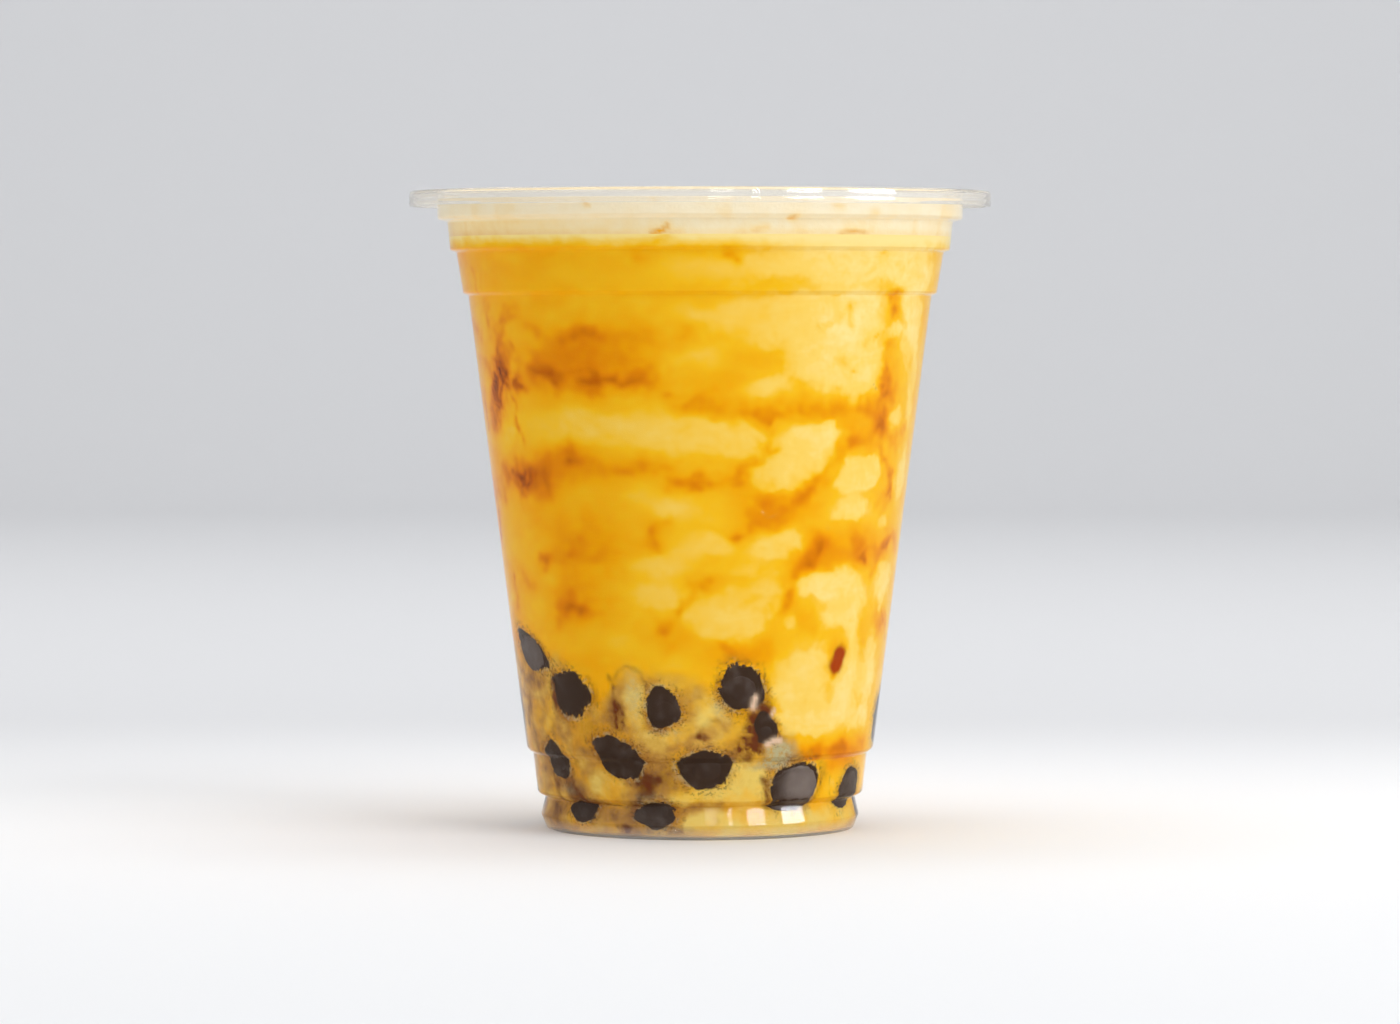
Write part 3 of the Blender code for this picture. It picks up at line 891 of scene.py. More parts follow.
def distance_to_path(azimuth, height, arc, path):
    """Distance in millimetres along the wall from each place to a path of azimuths and heights."""
    nearest = np.full(len(azimuth), np.inf)
    for (start_azimuth, start_height), (end_azimuth, end_height) in zip(path, path[1:]):
        run_x = (end_azimuth - start_azimuth) * arc
        run_y = end_height - start_height
        here_x = turn_to(azimuth, start_azimuth) * arc
        here_y = height - start_height
        share = (here_x * run_x + here_y * run_y) / np.maximum(run_x**2 + run_y**2, 1e-6)
        share = np.clip(share, 0.0, 1.0)
        nearest = np.minimum(nearest, np.hypot(here_x - share * run_x, here_y - share * run_y))
    return nearest


def back_strokes(rng):
    """Strokes for the sides and the back, which drift round the wall as those of the front do."""
    strokes = []
    for _ in range(64):
        azimuth = rng.uniform(88, 264)
        height = rng.uniform(27, 92)
        level = rng.random() < 0.68
        path = [(azimuth, height)]
        for _ in range(rng.randint(2, 4)):
            azimuth += rng.uniform(5, 13) if level else rng.uniform(-3, 3)
            height += rng.uniform(-2.2, 1.8) if level else rng.uniform(-5, -2)
            path.append((azimuth, height))
        strokes.append(Stroke(tuple(path), rng.uniform(1.0, 2.2), rng.uniform(0.12, 0.36)))
    return strokes


def back_patches(rng, count, lowest, strongest):
    """Patches for the sides and the back."""
    patches = []
    for _ in range(count):
        azimuth = rng.uniform(92, 268)
        height = rng.uniform(4, 92)
        strength = rng.uniform(lowest, strongest)
        size = (rng.uniform(6, 20), rng.uniform(4, 9))
        patches.append(Patch(azimuth, height, *size, strength, rng.uniform(-25, 25)))
    return patches


def back_clouds(rng):
    """Bright streams and darker clouds between the pearls of the sides and the back."""
    clouds = []
    for _ in range(26):
        azimuth = rng.uniform(94, 266)
        height = rng.uniform(2, 24)
        strength = rng.choice((-0.5, -0.35, -0.25, 0.2, 0.3))
        size = (rng.uniform(4, 10), rng.uniform(2.4, 6))
        clouds.append(Patch(azimuth, height, *size, strength, rng.uniform(-40, 40)))
    return clouds


def patch_cover(azimuth, height, arc, patches):
    """Summed strength of the patches at each place."""
    cover = np.zeros(len(azimuth))
    for patch in patches:
        across = turn_to(azimuth, patch.azimuth) * arc
        up = height - patch.height
        along, over = leaning(across, up, patch.lean)
        away = np.hypot(along / (patch.width / 2), over / (patch.tall / 2))
        cover += patch.strength * (1.0 - fade(away, *PATCH_FADE))
    return cover


def leaning(across, up, degrees):
    """Distances along and over an axis that rises by these degrees to the right."""
    lean = math.radians(degrees)
    return across * math.cos(lean) + up * math.sin(lean), up * math.cos(lean) - across * math.sin(lean)


def stroke_cover(azimuth, height, arc, strokes, broken, ragged):
    """How much the strokes cover each place, from 0 to 1. Broken thins them, and ragged tears their edges."""
    plain = np.ones(len(azimuth))
    for stroke in strokes:
        away = distance_to_path(azimuth, height, arc, stroke.path) / stroke.width
        core = CORE_SHARE * broken * (1.0 - fade(away * ragged, 0.0, CORE_REACH))
        glow = (1.0 - CORE_SHARE) * (1.0 - fade(away, GLOW_START, GLOW_REACH))
        plain *= 1.0 - np.clip(stroke.strength * (core + glow), 0.0, MOST_COVER)
    return 1.0 - plain


def tea_fields(points):
    """Fields that the tea's material reads, by name: milk, syrup, murk, and what lies on the wall."""
    rng = random.Random(SYRUP_SEED)
    arc = np.radians(1.0) * np.maximum(np.hypot(points[:, 0], points[:, 1]), 20.0)
    coarse = [waves(points, 7.0, seed) for seed in (1, 2)]
    fine = [waves(points, 2.2, seed) for seed in (3, 4)]
    side = azimuths(points)
    azimuth = side + (coarse[0] * 1.3 + fine[0] * 0.8) / arc
    height = points[:, 2] + coarse[1] * 0.9 + fine[1] * 0.7
    front = 1.0 - fade(np.abs(side), *FRONT_ENDS)
    right = fade(side, 0.0, 40.0) * front
    left = fade(-side, 0.0, 50.0) * front
    clumps = waves(points * (1.0, 1.0, 1.35), 8.0, 5)
    crumbs = waves(points * (1.0, 1.0, 1.3), 2.6, 6)
    broken = np.clip(0.85 + 0.45 * waves(points, 3.2, 9), 0.3, 1.2)
    ragged = 1.0 + 0.3 * waves(points, 1.2, 8)

    fields = {}
    cover = patch_cover(azimuth, height, arc, MILK_PATCHES + tuple(back_patches(rng, 46, 0.6, 1.2)))
    fields["milk"] = cover + 0.20 * clumps + 0.14 * crumbs
    fields["crisp"] = 0.22 + 0.26 * right + 0.2 * (1.0 - front)
    fields["milk_tone"] = 0.275 + 0.065 * left - 0.17 * right + 0.05 * clumps
    deep = patch_cover(azimuth, height, arc, DEEP_PATCHES + tuple(back_patches(rng, 16, 0.06, 0.16)))
    fields["plain"] = 0.43 + 0.07 * left - 0.02 * right + 0.05 * clumps + 0.03 * crumbs + deep
    strokes = SYRUP_STROKES + tuple(back_strokes(rng))
    fields["syrup"] = stroke_cover(azimuth, height, arc, strokes, broken, ragged)
    reach = fade(side, -15.0, 45.0) * front
    blur = 1.2 + 0.4 * reach
    border = 95.6 - 1.0 * reach
    fields["foamy"] = fade(points[:, 2] + 0.5 * crumbs + 0.4 * clumps, border - blur, border + blur)

    murk_top = np.interp(side, MURK_AZIMUTHS, MURK_HEIGHTS)
    uneven = points[:, 2] + 1.8 * clumps + 1.2 * crumbs
    fields["murk"] = 1.0 - fade(uneven, murk_top - 4.0, murk_top + 1.4)
    cloud = 0.55 + 0.24 * clumps + 0.22 * crumbs
    azimuth = side + (coarse[0] * 0.4 + fine[0] * 0.6) / arc
    height = points[:, 2] + coarse[1] * 0.3 + fine[1] * 0.5
    cloud += patch_cover(azimuth, height, arc, CLOUD_PATCHES + tuple(back_clouds(rng)))
    fields["cloud"] = np.clip(cloud, 0.0, 1.0)
    whole = np.maximum(broken, 0.85)
    fields["stain"] = stroke_cover(azimuth, height, arc, STAIN_STROKES, whole, ragged)
    fields["smear"] = np.clip(patch_cover(azimuth, height, arc, SMEAR_PATCHES), 0.0, 1.0)
    fields["sliver"] = stroke_cover(side, points[:, 2], arc, SLIVER_STROKES, 1.2, ragged)
    fields["spot"] = stroke_cover(side, points[:, 2], arc, SPOT_STROKES, 1.2, ragged)
    fields["near_pearl"] = pearl_nearness(points, all_pearls())
    return fields


def pearl_nearness(points, pearls):
    """How far outside the nearest pearl's pressed patch a point is: 0 at its middle, 1 on its edge."""
    azimuth = azimuths(points)
    nearest = np.full(len(points), 9.0)
    for index, pearl in enumerate(pearls):
        across = turn_to(azimuth, pearl.azimuth) * LOW_ARC
        along, over = leaning(across, points[:, 2] - pearl.height, pearl.turn)
        away = np.hypot(along / (pearl.width / 2), over / (pearl.tall / 2))
        around = np.arctan2(over / pearl.tall, along / pearl.width)
        lobes = 1.0 + 0.05 * np.sin(3 * around + index) + 0.04 * np.sin(5 * around + 2 * index)
        if pearl.tip is not None:
            lobes += 0.2 * np.clip(np.cos(around - math.radians(pearl.tip)), 0.0, 1.0) ** 3
        nearest = np.minimum(nearest, away / lobes)
    return nearest


def all_pearls():
    """The pearls of the front, and a seeded heap of them along the wall of the sides and the back."""
    rng = random.Random(PEARL_SEED)
    pearls = list(FRONT_PEARLS)
    for level, (height, share) in enumerate(BACK_ROWS):
        azimuth = BACK_START + level * ROW_SHIFT
        while azimuth < BACK_END:
            if rng.random() < share:
                wide = rng.uniform(5.4, 8.6)
                spot = Pearl(
                    azimuth + rng.uniform(-4, 4),
                    height + rng.uniform(-1.2, 1.2),
                    wide,
                    wide * rng.uniform(0.7, 1),
                    rng.uniform(-40, 40),
                    rng.choice((None, 80, 130, 250)),
                )
                if all(apart(spot, other) > LEAST_SPACING for other in pearls):
                    pearls.append(spot)
            azimuth += rng.uniform(17.0, 24.0)
    return pearls


def apart(one, other):
    """Distance along the wall between two pearls, in millimetres."""
    return math.hypot(turn_to(one.azimuth, other.azimuth) * LOW_ARC, one.height - other.height)


# Materials


class Tree:
    """Short ways to add and join the nodes of one material."""

    def __init__(self, name):
        self.material = bpy.data.materials.new(name)
        self.material.use_nodes = True
        self.nodes = self.material.node_tree.nodes
        self.links = self.material.node_tree.links
        self.shader = self.nodes["Principled BSDF"]
        self.output = self.nodes["Material Output"]

    def add(self, kind, **values):
        """A new node with these settings of its own."""
        node = self.nodes.new(kind)
        for name, value in values.items():
            setattr(node, name, value)
        return node

    def feed(self, *pairs):
        """Link each input to its output, or give it its number or colour."""
        for socket, value in pairs:
            if isinstance(value, bpy.types.NodeSocket):
                self.join(value, socket)
            else:
                socket.default_value = value

    def join(self, source, target):
        """Link an output to an input."""
        self.links.new(source, target)

    def place(self):
        """The point's own place, in metres."""
        return self.add("ShaderNodeTexCoord").outputs["Object"]

    def attribute(self, name):
        """A number kept on the mesh's points."""
        return self.add("ShaderNodeAttribute", attribute_name=name).outputs["Fac"]

    def noise(self, scale, detail=3.0, roughness=0.55, distortion=0.0, flat=1.0):
        """Noise with so many features to a metre, which are wider than tall by flat."""
        node = self.add("ShaderNodeTexNoise")
        squash = self.add("ShaderNodeVectorMath", operation="MULTIPLY")
        squash.inputs[1].default_value = (1.0, 1.0, flat)
        self.join(self.place(), squash.inputs[0])
        self.join(squash.outputs["Vector"], node.inputs["Vector"])
        node.inputs["Scale"].default_value = scale
        node.inputs["Detail"].default_value = detail
        node.inputs["Roughness"].default_value = roughness
        node.inputs["Distortion"].default_value = distortion
        return node.outputs["Fac"]

    def swing(self, value, size):
        """The value's swing round a half, times a size."""
        return self.maths("MULTIPLY", self.maths("SUBTRACT", value, 0.5), size)

    def sum(self, *values):
        """The sum of some numbers or outputs."""
        total = values[0]
        for value in values[1:]:
            total = self.maths("ADD", total, value)
        return total

    def blend(self, factor, first, second):
        """A number between two others."""
        node = self.add("ShaderNodeMix", data_type="FLOAT")
        self.feed((node.inputs[0], factor), (node.inputs[2], first), (node.inputs[3], second))
        return node.outputs[0]

    def maths(self, operation, first, second, clamp=False):
        """What an operation makes of two numbers or outputs."""
        node = self.add("ShaderNodeMath", operation=operation, use_clamp=clamp)
        self.feed((node.inputs[0], first), (node.inputs[1], second))
        return node.outputs[0]

    def between(self, value, low, high, out_low=0.0, out_high=1.0):
        """The value's range from low to high, mapped smoothly to another range."""
        node = self.add("ShaderNodeMapRange", interpolation_type="SMOOTHSTEP")
        self.join(value, node.inputs["Value"])
        node.inputs["From Min"].default_value = low
        node.inputs["From Max"].default_value = high
        node.inputs["To Min"].default_value = out_low
        node.inputs["To Max"].default_value = out_high
        return node.outputs["Result"]

    def mix(self, factor, first, second):
        """One colour over another."""
        node = self.add("ShaderNodeMix", data_type="RGBA")
        self.feed((node.inputs["Factor"], factor), (node.inputs[6], first), (node.inputs[7], second))
        return node.outputs[2]

    def ramp(self, value, stops):
        """Colours along a value, from pairs of position and colour."""
        node = self.add("ShaderNodeValToRGB")
        self.join(value, node.inputs["Fac"])
        elements = node.color_ramp.elements
        elements[0].position, elements[0].color = stops[0]
        elements[1].position, elements[1].color = stops[-1]
        for position, colour in stops[1:-1]:
            elements.new(position).color = colour
        return node.outputs["Color"]

    def bump(self, height, distance):
        """Relief from a height, which reaches the shader's normal."""
        node = self.add("ShaderNodeBump")
        node.inputs["Distance"].default_value = distance
        self.join(height, node.inputs["Height"])
        self.join(node.outputs["Normal"], self.shader.inputs["Normal"])

    def set(self, **values):
        """Numbers on the shader's own sockets. An underscore stands for a space."""
        for name, value in values.items():
            self.shader.inputs[name.replace("_", " ")].default_value = value

    def shade(self, **sources):
        """Outputs into the shader's own sockets. An underscore stands for a space."""
        for name, source in sources.items():
            self.join(source, self.shader.inputs[name.replace("_", " ")])


def let_lamps_through(tree):
    """Let lamps and bounced light pass the plastic unbent, so that what it holds is lit."""
    path = tree.add("ShaderNodeLightPath")
    clear = tree.add("ShaderNodeBsdfTransparent")
    bounced = tree.add("ShaderNodeMixShader")
    lit = tree.add("ShaderNodeMixShader")
    tree.join(path.outputs["Is Diffuse Ray"], bounced.inputs[0])
    tree.join(tree.shader.outputs[0], bounced.inputs[1])
    tree.join(clear.outputs[0], bounced.inputs[2])
    tree.join(path.outputs["Is Shadow Ray"], lit.inputs[0])
    tree.join(bounced.outputs[0], lit.inputs[1])
    tree.join(clear.outputs[0], lit.inputs[2])
    tree.join(lit.outputs[0], tree.output.inputs["Surface"])


def clear_plastic():
    """Clear thermoformed plastic, a little uneven, with rub marks in its gloss and a glossier lip."""
    cup = settings().cup
    tree = Tree("clear_plastic")
    tree.set(Metallic=0.0, IOR=cup.ior, Coat_Roughness=0.03)
    milky = tree.attribute("milky")
    tree.shade(
        Base_Color=tree.mix(tree.between(milky, 0.0, 0.2), cup.tint, cup.haze),
        Transmission_Weight=tree.maths("SUBTRACT", 1.0, milky),
        Roughness=tree.between(tree.noise(500.0, 3.0), 0.35, 0.75, 0.02, 0.06),
        Coat_Weight=tree.attribute("lip"),
    )
    tree.bump(tree.noise(110.0, 1.0), cup.wave)
    let_lamps_through(tree)
    return tree.material


def tea_colour(tree, tone):
    """Colour of milk tea for a tone from pale milk to the thickest syrup."""
    drink = settings().drink
    stops = (
        (0.0, drink.pale),
        (0.16, drink.cream),
        (0.40, drink.yellow),
        (0.56, drink.amber),
        (0.70, drink.orange),
        (0.84, drink.burnt),
        (1.0, drink.dark),
    )
    return tree.ramp(tone, stops)


def milk_tea():
    """Milk tea with drifting syrup, clouded and darkened round the pearls."""
    drink = settings().drink
    tree = Tree("milk_tea")
    tree.set(Metallic=0.0, Specular_IOR_Level=0.0)
    colour = tea_colour(tree, tea_tone(tree))
    ragged = tree.noise(700.0, 4.0, 0.65)
    cloud = tree.maths("ADD", tree.attribute("cloud"), tree.swing(ragged, 0.5), clamp=True)
    stops = (
        (0.0, drink.stream),
        (0.28, drink.halo),
        (0.55, drink.murk),
        (0.8, drink.silt),
        (1.0, drink.dregs),
    )
    thin = tree.between(tree.noise(190.0, 3.0), 0.36, 0.58, 0.5, 1.0)
    murk = tree.maths("MULTIPLY", tree.attribute("murk"), thin)
    colour = tree.mix(murk, colour, tree.ramp(cloud, stops))
    speckled = tree.between(tree.noise(1100.0, 4.0, 0.7), 0.34, 0.62, 0.35, 1.25)
    smear = tree.maths("MULTIPLY", tree.attribute("smear"), speckled, clamp=True)
    colour = tree.mix(smear, colour, drink.smear)
    colour = tree.mix(tree.between(tree.attribute("spot"), 0.05, 0.85), colour, drink.ember)
    colour = pearl_film(tree, colour, ragged)
    colour = tree.mix(tree.attribute("sliver"), colour, drink.sliver)
    tree.shade(Base_Color=colour, Roughness=tree.between(ragged, 0.3, 0.7, 0.35, 0.5))
    return tree.material


def tea_tone(tree):
    """Tone of the tea, from pale milk to the thickest syrup, with the torn edges that milk has in syrup."""
    torn = tree.noise(230.0, 7.0, 0.62, 0.7)
    drift = tree.noise(95.0, 5.0, 0.6, 0.5, 2.6)
    cover = tree.sum(tree.attribute("milk"), tree.swing(torn, 1.2), tree.swing(drift, 0.7))
    soft = tree.between(cover, 0.0, 1.1)
    sharp = tree.between(cover, 0.34, 0.78)
    milk = tree.blend(tree.attribute("crisp"), soft, sharp)
    tone = tree.blend(milk, tree.attribute("plain"), tree.attribute("milk_tone"))
    grain = tree.noise(900.0, 4.0, 0.6)
    tone = tree.sum(tone, tree.swing(torn, 0.26), tree.swing(drift, 0.28), tree.swing(grain, 0.1))
    tone = tree.blend(tree.attribute("foamy"), tone, 0.02)
    wisps = tree.between(tree.noise(330.0, 6.0, 0.55, 0.8), 0.30, 0.66, 0.6, 1.25)
    syrup = tree.maths("MULTIPLY", tree.attribute("syrup"), wisps, clamp=True)
    return tree.blend(syrup, tone, 1.0)


def pearl_film(tree, colour, ragged):
    """Lay the torn dark film where a pearl presses on the wall, with what lies round its edge and a painted
    shade.
    """
    drink = settings().drink
    lumps = tree.swing(tree.noise(330.0, 2.0), 0.36)
    rough = tree.between(tree.noise(210.0, 2.0), 0.42, 0.60, 0.12, 1.0)
    tears = tree.maths("MULTIPLY", tree.swing(tree.noise(1300.0, 5.0, 0.7), 1.0), rough)
    edge = tree.sum(tree.attribute("near_pearl"), lumps, tears)
    # Painted shade: a darker syrup colour that fades out from each pearl's edge
    round_it = tree.between(tree.noise(170.0, 3.0), 0.38, 0.6, 0.1, 1.0)
    shadow = tree.maths("MULTIPLY", tree.between(edge, 1.0, 1.55, 0.62, 0.0), round_it)
    colour = tree.mix(shadow, colour, drink.shadow)
    ring = tree.maths("MULTIPLY", tree.between(edge, 1.0, 1.2, 0.5, 0.0), tree.between(ragged, 0.46, 0.6))
    colour = tree.mix(ring, colour, drink.smear)
    specks = tree.between(tree.noise(2300.0, 2.0, 0.6), 0.54, 0.61)
    specks = tree.maths("MULTIPLY", specks, tree.between(edge, 1.0, 1.7, 0.6, 0.0))
    colour = tree.mix(specks, colour, settings().pearls.skin)
    stain = tree.between(tree.attribute("stain"), 0.05, 0.8)
    blotchy = tree.between(tree.noise(650.0, 4.0, 0.65), 0.36, 0.56, 0.45, 1.0)
    colour = tree.mix(tree.maths("MULTIPLY", stain, blotchy), colour, drink.ruby)
    bare = tree.between(edge, 0.94, 1.02, 1.0, 0.0)
    return tree.mix(bare, colour, pearl_skin(tree, 0.0))


def pearl_skin(tree, painted_sheen):
    """Near black brown with paler patches, and paler still where a sheen is painted."""
    pearls = settings().pearls
    patches = tree.between(tree.noise(420.0, 5.0, 0.65), 0.4, 0.8, -0.05, 0.3)
    return tree.mix(tree.maths("ADD", patches, painted_sheen, clamp=True), pearls.skin, pearls.sheen)


def tapioca():
    """Cooked tapioca with a soft, patchy skin and a painted sheen on the outer side of some pearls."""
    tree = Tree("tapioca")
    tree.set(Metallic=0.0, Specular_IOR_Level=0.02)
    tree.shade(
        # The pale attribute paints a sheen on the outer side of some pearls
        Base_Color=pearl_skin(tree, tree.attribute("pale")),
        Roughness=tree.between(tree.noise(1500.0, 3.0), 0.3, 0.7, 0.3, 0.55),
    )
    tree.bump(tree.noise(800.0, 3.0), 0.05 * MM)
    return tree.material


def milk_foam():
    """Pale fine foam, deeper in colour where it thins into the tea and in the painted shade on its left."""
    foam = settings().foam
    drink = settings().drink
    tree = Tree("milk_foam")
    tree.set(Metallic=0.0, Specular_IOR_Level=0.0)
    cloud = tree.noise(300.0, 5.0, 0.6)
    uneven = tree.between(cloud, 0.2, 0.8, -0.06, 0.06)
    tone = tree.maths("ADD", tree.attribute("tone"), uneven, clamp=True)
    stops = (
        (0.0, foam.foam),
        (0.3, foam.shade),
        (0.55, foam.deep),
        (0.8, drink.amber),
        (1.0, drink.orange),
    )
    tree.shade(Base_Color=tree.ramp(tone, stops), Roughness=tree.between(cloud, 0.3, 0.7, 0.35, 0.55))
    tree.bump(tree.noise(1900.0, 4.0, 0.7), 0.12 * MM)
    return tree.material


def bubble_skin():
    """The thin skin of a foam bubble."""
    foam = settings().foam
    tree = Tree("bubble_skin")
    tree.set(Metallic=0.0, Specular_IOR_Level=0.12)
    tint = tree.noise(500.0, 2.0)
    rough = tree.between(tint, 0.3, 0.7, 0.12, 0.25)
    tree.shade(Base_Color=tree.mix(tint, foam.skin, foam.shine), Roughness=rough)
    return tree.material


def water():
    """Clear water in small drops."""
    tree = Tree("water")
    tree.set(Metallic=0.0, Transmission_Weight=1.0, IOR=WATER_IOR)
    tree.shade(
        Base_Color=tree.mix(tree.noise(600.0, 2.0), *WATER_TINTS),
        Roughness=tree.between(tree.noise(900.0, 2.0), 0.3, 0.7, 0.0, 0.04),
    )
    let_lamps_through(tree)
    return tree.material


def stage_surface():
    """Matt sweep, pale near the cup and a little darker behind it."""
    stage = settings().stage
    tree = Tree("studio_sweep")
    tree.set(Metallic=0.0, Roughness=0.75, Specular_IOR_Level=0.0)
    split = tree.add("ShaderNodeSeparateXYZ")
    tree.join(tree.place(), split.inputs[0])
    far = tree.between(split.outputs["Y"], 0.03, 0.26)
    tree.shade(Base_Color=tree.mix(far, stage.floor, stage.backdrop))
    return tree.material


# Operators, one for each piece or group of like pieces


class MakeStage(bpy.types.Operator):
    """Set the cup on a plain pale sweep under soft light, seen as in the photograph"""

    bl_idname = "bubble_tea.make_stage"
    bl_label = "Stage"

    def execute(self, context):
        stage = settings().stage
        self.make_sweep()
        self.make_lights(context.scene)
        camera_data = bpy.data.cameras.new("camera")
        camera_data.lens = stage.focal
        camera_data.clip_start = 0.01
        camera = bpy.data.objects.new("camera", camera_data)
        camera.location = (0.0, -stage.distance, stage.eye)
        camera.rotation_euler = (math.pi / 2 - stage.tilt, 0.0, 0.0)
        context.scene.collection.objects.link(camera)
        context.scene.camera = camera
        context.scene.view_settings.view_transform = "Standard"
        return {"FINISHED"}

    def make_sweep(self):
        """A floor that curves up far behind the cup."""
        half_width, front, back, rise, height = 4.0, -4.0, 1.4, 0.6, 3.0
        profile = [(front, 0.0)]
        for turn in np.linspace(0, math.pi / 2, 17):
            profile.append((back + rise * math.sin(turn), rise - rise * math.cos(turn)))
        profile.append((back + rise, height))
        points = [(side, y, z) for y, z in profile for side in (-half_width, half_width)]
        faces = [(2 * row, 2 * row + 1, 2 * row + 3, 2 * row + 2) for row in range(len(profile) - 1)]
        sweep = mesh_object("studio_sweep", points, faces)
        sweep.data.materials.append(stage_surface())

    def make_lights(self, scene):
        """Soft lamps, windows that only show as gloss, and even surroundings."""
        for name, place, width, power, target in LAMPS:
            self.make_lamp(scene, name, place, (width, width), power, target)
        for azimuth, width, power in WINDOWS:
            turn = math.radians(azimuth)
            place = (WINDOW_DISTANCE * math.sin(turn), -WINDOW_DISTANCE * math.cos(turn), WINDOW_HEIGHT)
            size = (width, WINDOW_TALL)
            pane = self.make_lamp(scene, f"window_{azimuth:.0f}", place, size, power, WINDOW_TARGET)
            pane.visible_diffuse = False
            pane.visible_transmission = False
        world = bpy.data.worlds.new("studio")
        world.use_nodes = True
        surroundings = world.node_tree.nodes["Background"]
        surroundings.inputs["Color"].default_value = SKY_COLOUR
        surroundings.inputs["Strength"].default_value = SKY_STRENGTH
        scene.world = world

    def make_lamp(self, scene, name, place, size, power, target):
        """A flat soft lamp that faces its target."""
        data = bpy.data.lights.new(name, "AREA")
        data.shape = "RECTANGLE"
        data.size, data.size_y = size
        data.energy = power
        lamp = bpy.data.objects.new(name, data)
        lamp.location = place
        lamp.rotation_euler = (Vector(target) - Vector(place)).to_track_quat("-Z", "Y").to_euler()
        scene.collection.objects.link(lamp)
        return lamp


class MakeCup(bpy.types.Operator):
    """Turn the clear cup with its stepped bands, wide rim and ring foot"""

    bl_idname = "bubble_tea.make_cup"
    bl_label = "Cup"

    def execute(self, context):
        cup = turned("clear_cup", cup_outline(), CUP_SEGMENTS)
        points = points_of(cup)
        radius = np.hypot(points[:, 0], points[:, 1])
        height = points[:, 2]
        rim = fade(radius, COLLAR_INSIDE, BANDS[0].top_radius + 1.5)
        collar = fade(height, BANDS[0].bottom - 0.6, BANDS[0].bottom)
        foot = 1.0 - fade(height, WAIST[1] - 0.8, WAIST[1] + 0.6)
        sole = (1.0 - fade(height, 0.2, 1.2)) * fade(radius, FOOT_INNER_RADIUS, FOOT_INNER_RADIUS + 1.0)
        film = fade(height, DRINK_LEVEL - 0.9, DRINK_LEVEL + 0.1) * (1.0 - rim)
        store(cup, "milky", 0.08 * rim + 0.05 * collar + 0.18 * film + 0.02 * foot + 0.35 * sole)
        store(cup, "lip", 0.07 * fade(radius, RIM_RADIUS - 1.4, RIM_RADIUS - 0.8))
        dress(cup, clear_plastic())
        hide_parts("cup")
        return {"FINISHED"}


class MakeMilkTea(bpy.types.Operator):
    """Fill the cup with milk tea and lay the syrup along its wall"""

    bl_idname = "bubble_tea.make_milk_tea"
    bl_label = "Milk tea"

    def execute(self, context):
        tea = turned("tea", finely(tea_outline(), TEA_ROW), TEA_SEGMENTS)
        points = points_of(tea)
        for name, values in tea_fields(points).items():
            store(tea, name, values)
        dress(tea, milk_tea())
        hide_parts("milk_tea")
        return {"FINISHED"}


class MakePearls(bpy.types.Operator):
    """Press soft tapioca pearls against the wall low in the tea"""

    bl_idname = "bubble_tea.make_pearls"
    bl_label = "Pearls"

    # Points of a pearl round it and from pole to pole, how far it stands out of the tea, and the most of
    # its width that the pressed patch takes
    ROUNDS = 40
    ROWS = 26
    OUT_OF_TEA = 0.04
    PRESSED = 0.86

    def execute(self, context):
        radius = settings().pearls.diameter / MM / 2
        heights, radii = wall_profile(WALL - INTO_WALL - self.OUT_OF_TEA)
        points = []
        faces = []
        painted_sheen = []
        for index, pearl in enumerate(all_pearls()):
            ball = self.ball(pearl, radius, index, heights, radii)
            first = len(points)
            points += (ball * MM).tolist()
            for face in round_faces(self.ROWS - 2, self.ROUNDS):
                faces.append(tuple(first + corner for corner in face))
            # Painted sheen: the pale pearls are lighter on their outer side
            painted_sheen.append(pearl.pale * self.facing())
        pearls = mesh_object("tapioca_pearls", points, faces)
        store(pearls, "pale", np.concatenate(painted_sheen))
        dress(pearls, tapioca())
        return {"FINISHED"}

    def ball(self, pearl, radius, index, heights, radii):
        """Points of one uneven pearl, flattened where it meets the wall."""
        bare = pearl.bare * (pearl.width + pearl.tall) / 4
        half_width = max(radius, pearl.width / 2 / self.PRESSED)
        half_tall = max(radius, pearl.tall / 2 / self.PRESSED)
        depth = (half_width + half_tall) / 2
        pressed = math.sqrt(1.0 - (bare / depth) ** 2)
        limit = float(np.interp(pearl.height, heights, radii)) - self.OUT_OF_TEA
        middle = limit - pressed * depth
        directions = self.directions()
        uneven = 1.0 + 0.05 * waves(directions * 4.0, 4.0, index + 20, 2)[:, None]
        local = directions * (depth, half_width, half_tall) * uneven
        out = local[:, 0] + middle
        sideways, up = leaning(local[:, 1], local[:, 2], -pearl.turn)
        height = up + pearl.height
        reach = np.hypot(out, sideways)
        most = np.interp(height, heights, radii)
        squeeze = np.minimum(1.0, most / np.maximum(reach, 1e-6))
        turn = math.radians(pearl.azimuth - 90.0)
        across = sideways * squeeze
        out = out * squeeze
        x = out * math.cos(turn) - across * math.sin(turn)
        y = out * math.sin(turn) + across * math.cos(turn)
        return np.stack([x, y, np.maximum(height, floor_under(np.hypot(x, y)))], axis=1)

    def directions(self):
        """Directions from the middle of a ball to its points, from pole to pole."""
        directions = [(0.0, 0.0, 1.0)]
        for tilt in np.linspace(0.0, math.pi, self.ROWS)[1:-1]:
            flat = math.sin(tilt)
            for turn in np.linspace(0.0, 2 * math.pi, self.ROUNDS, endpoint=False):
                directions.append((flat * math.cos(turn), flat * math.sin(turn), math.cos(tilt)))
        directions.append((0.0, 0.0, -1.0))
        return np.array(directions)

    def facing(self):
        """How far each point of a ball lies towards the painted sheen of its outer side, from 0 to 1."""
        directions = self.directions()
        return fade(directions[:, 0] + 0.3 * directions[:, 1], 0.5, 1.12)


def floor_under(radius):
    """Least height of a pearl at a radius, over the raised panel and down in the ring foot."""
    foot = WALL + 0.1
    panel = BASE_PANEL[1] + foot
    return panel - (panel - foot) * fade(radius, BASE_PANEL[0], FOOT_INNER_RADIUS + WALL)


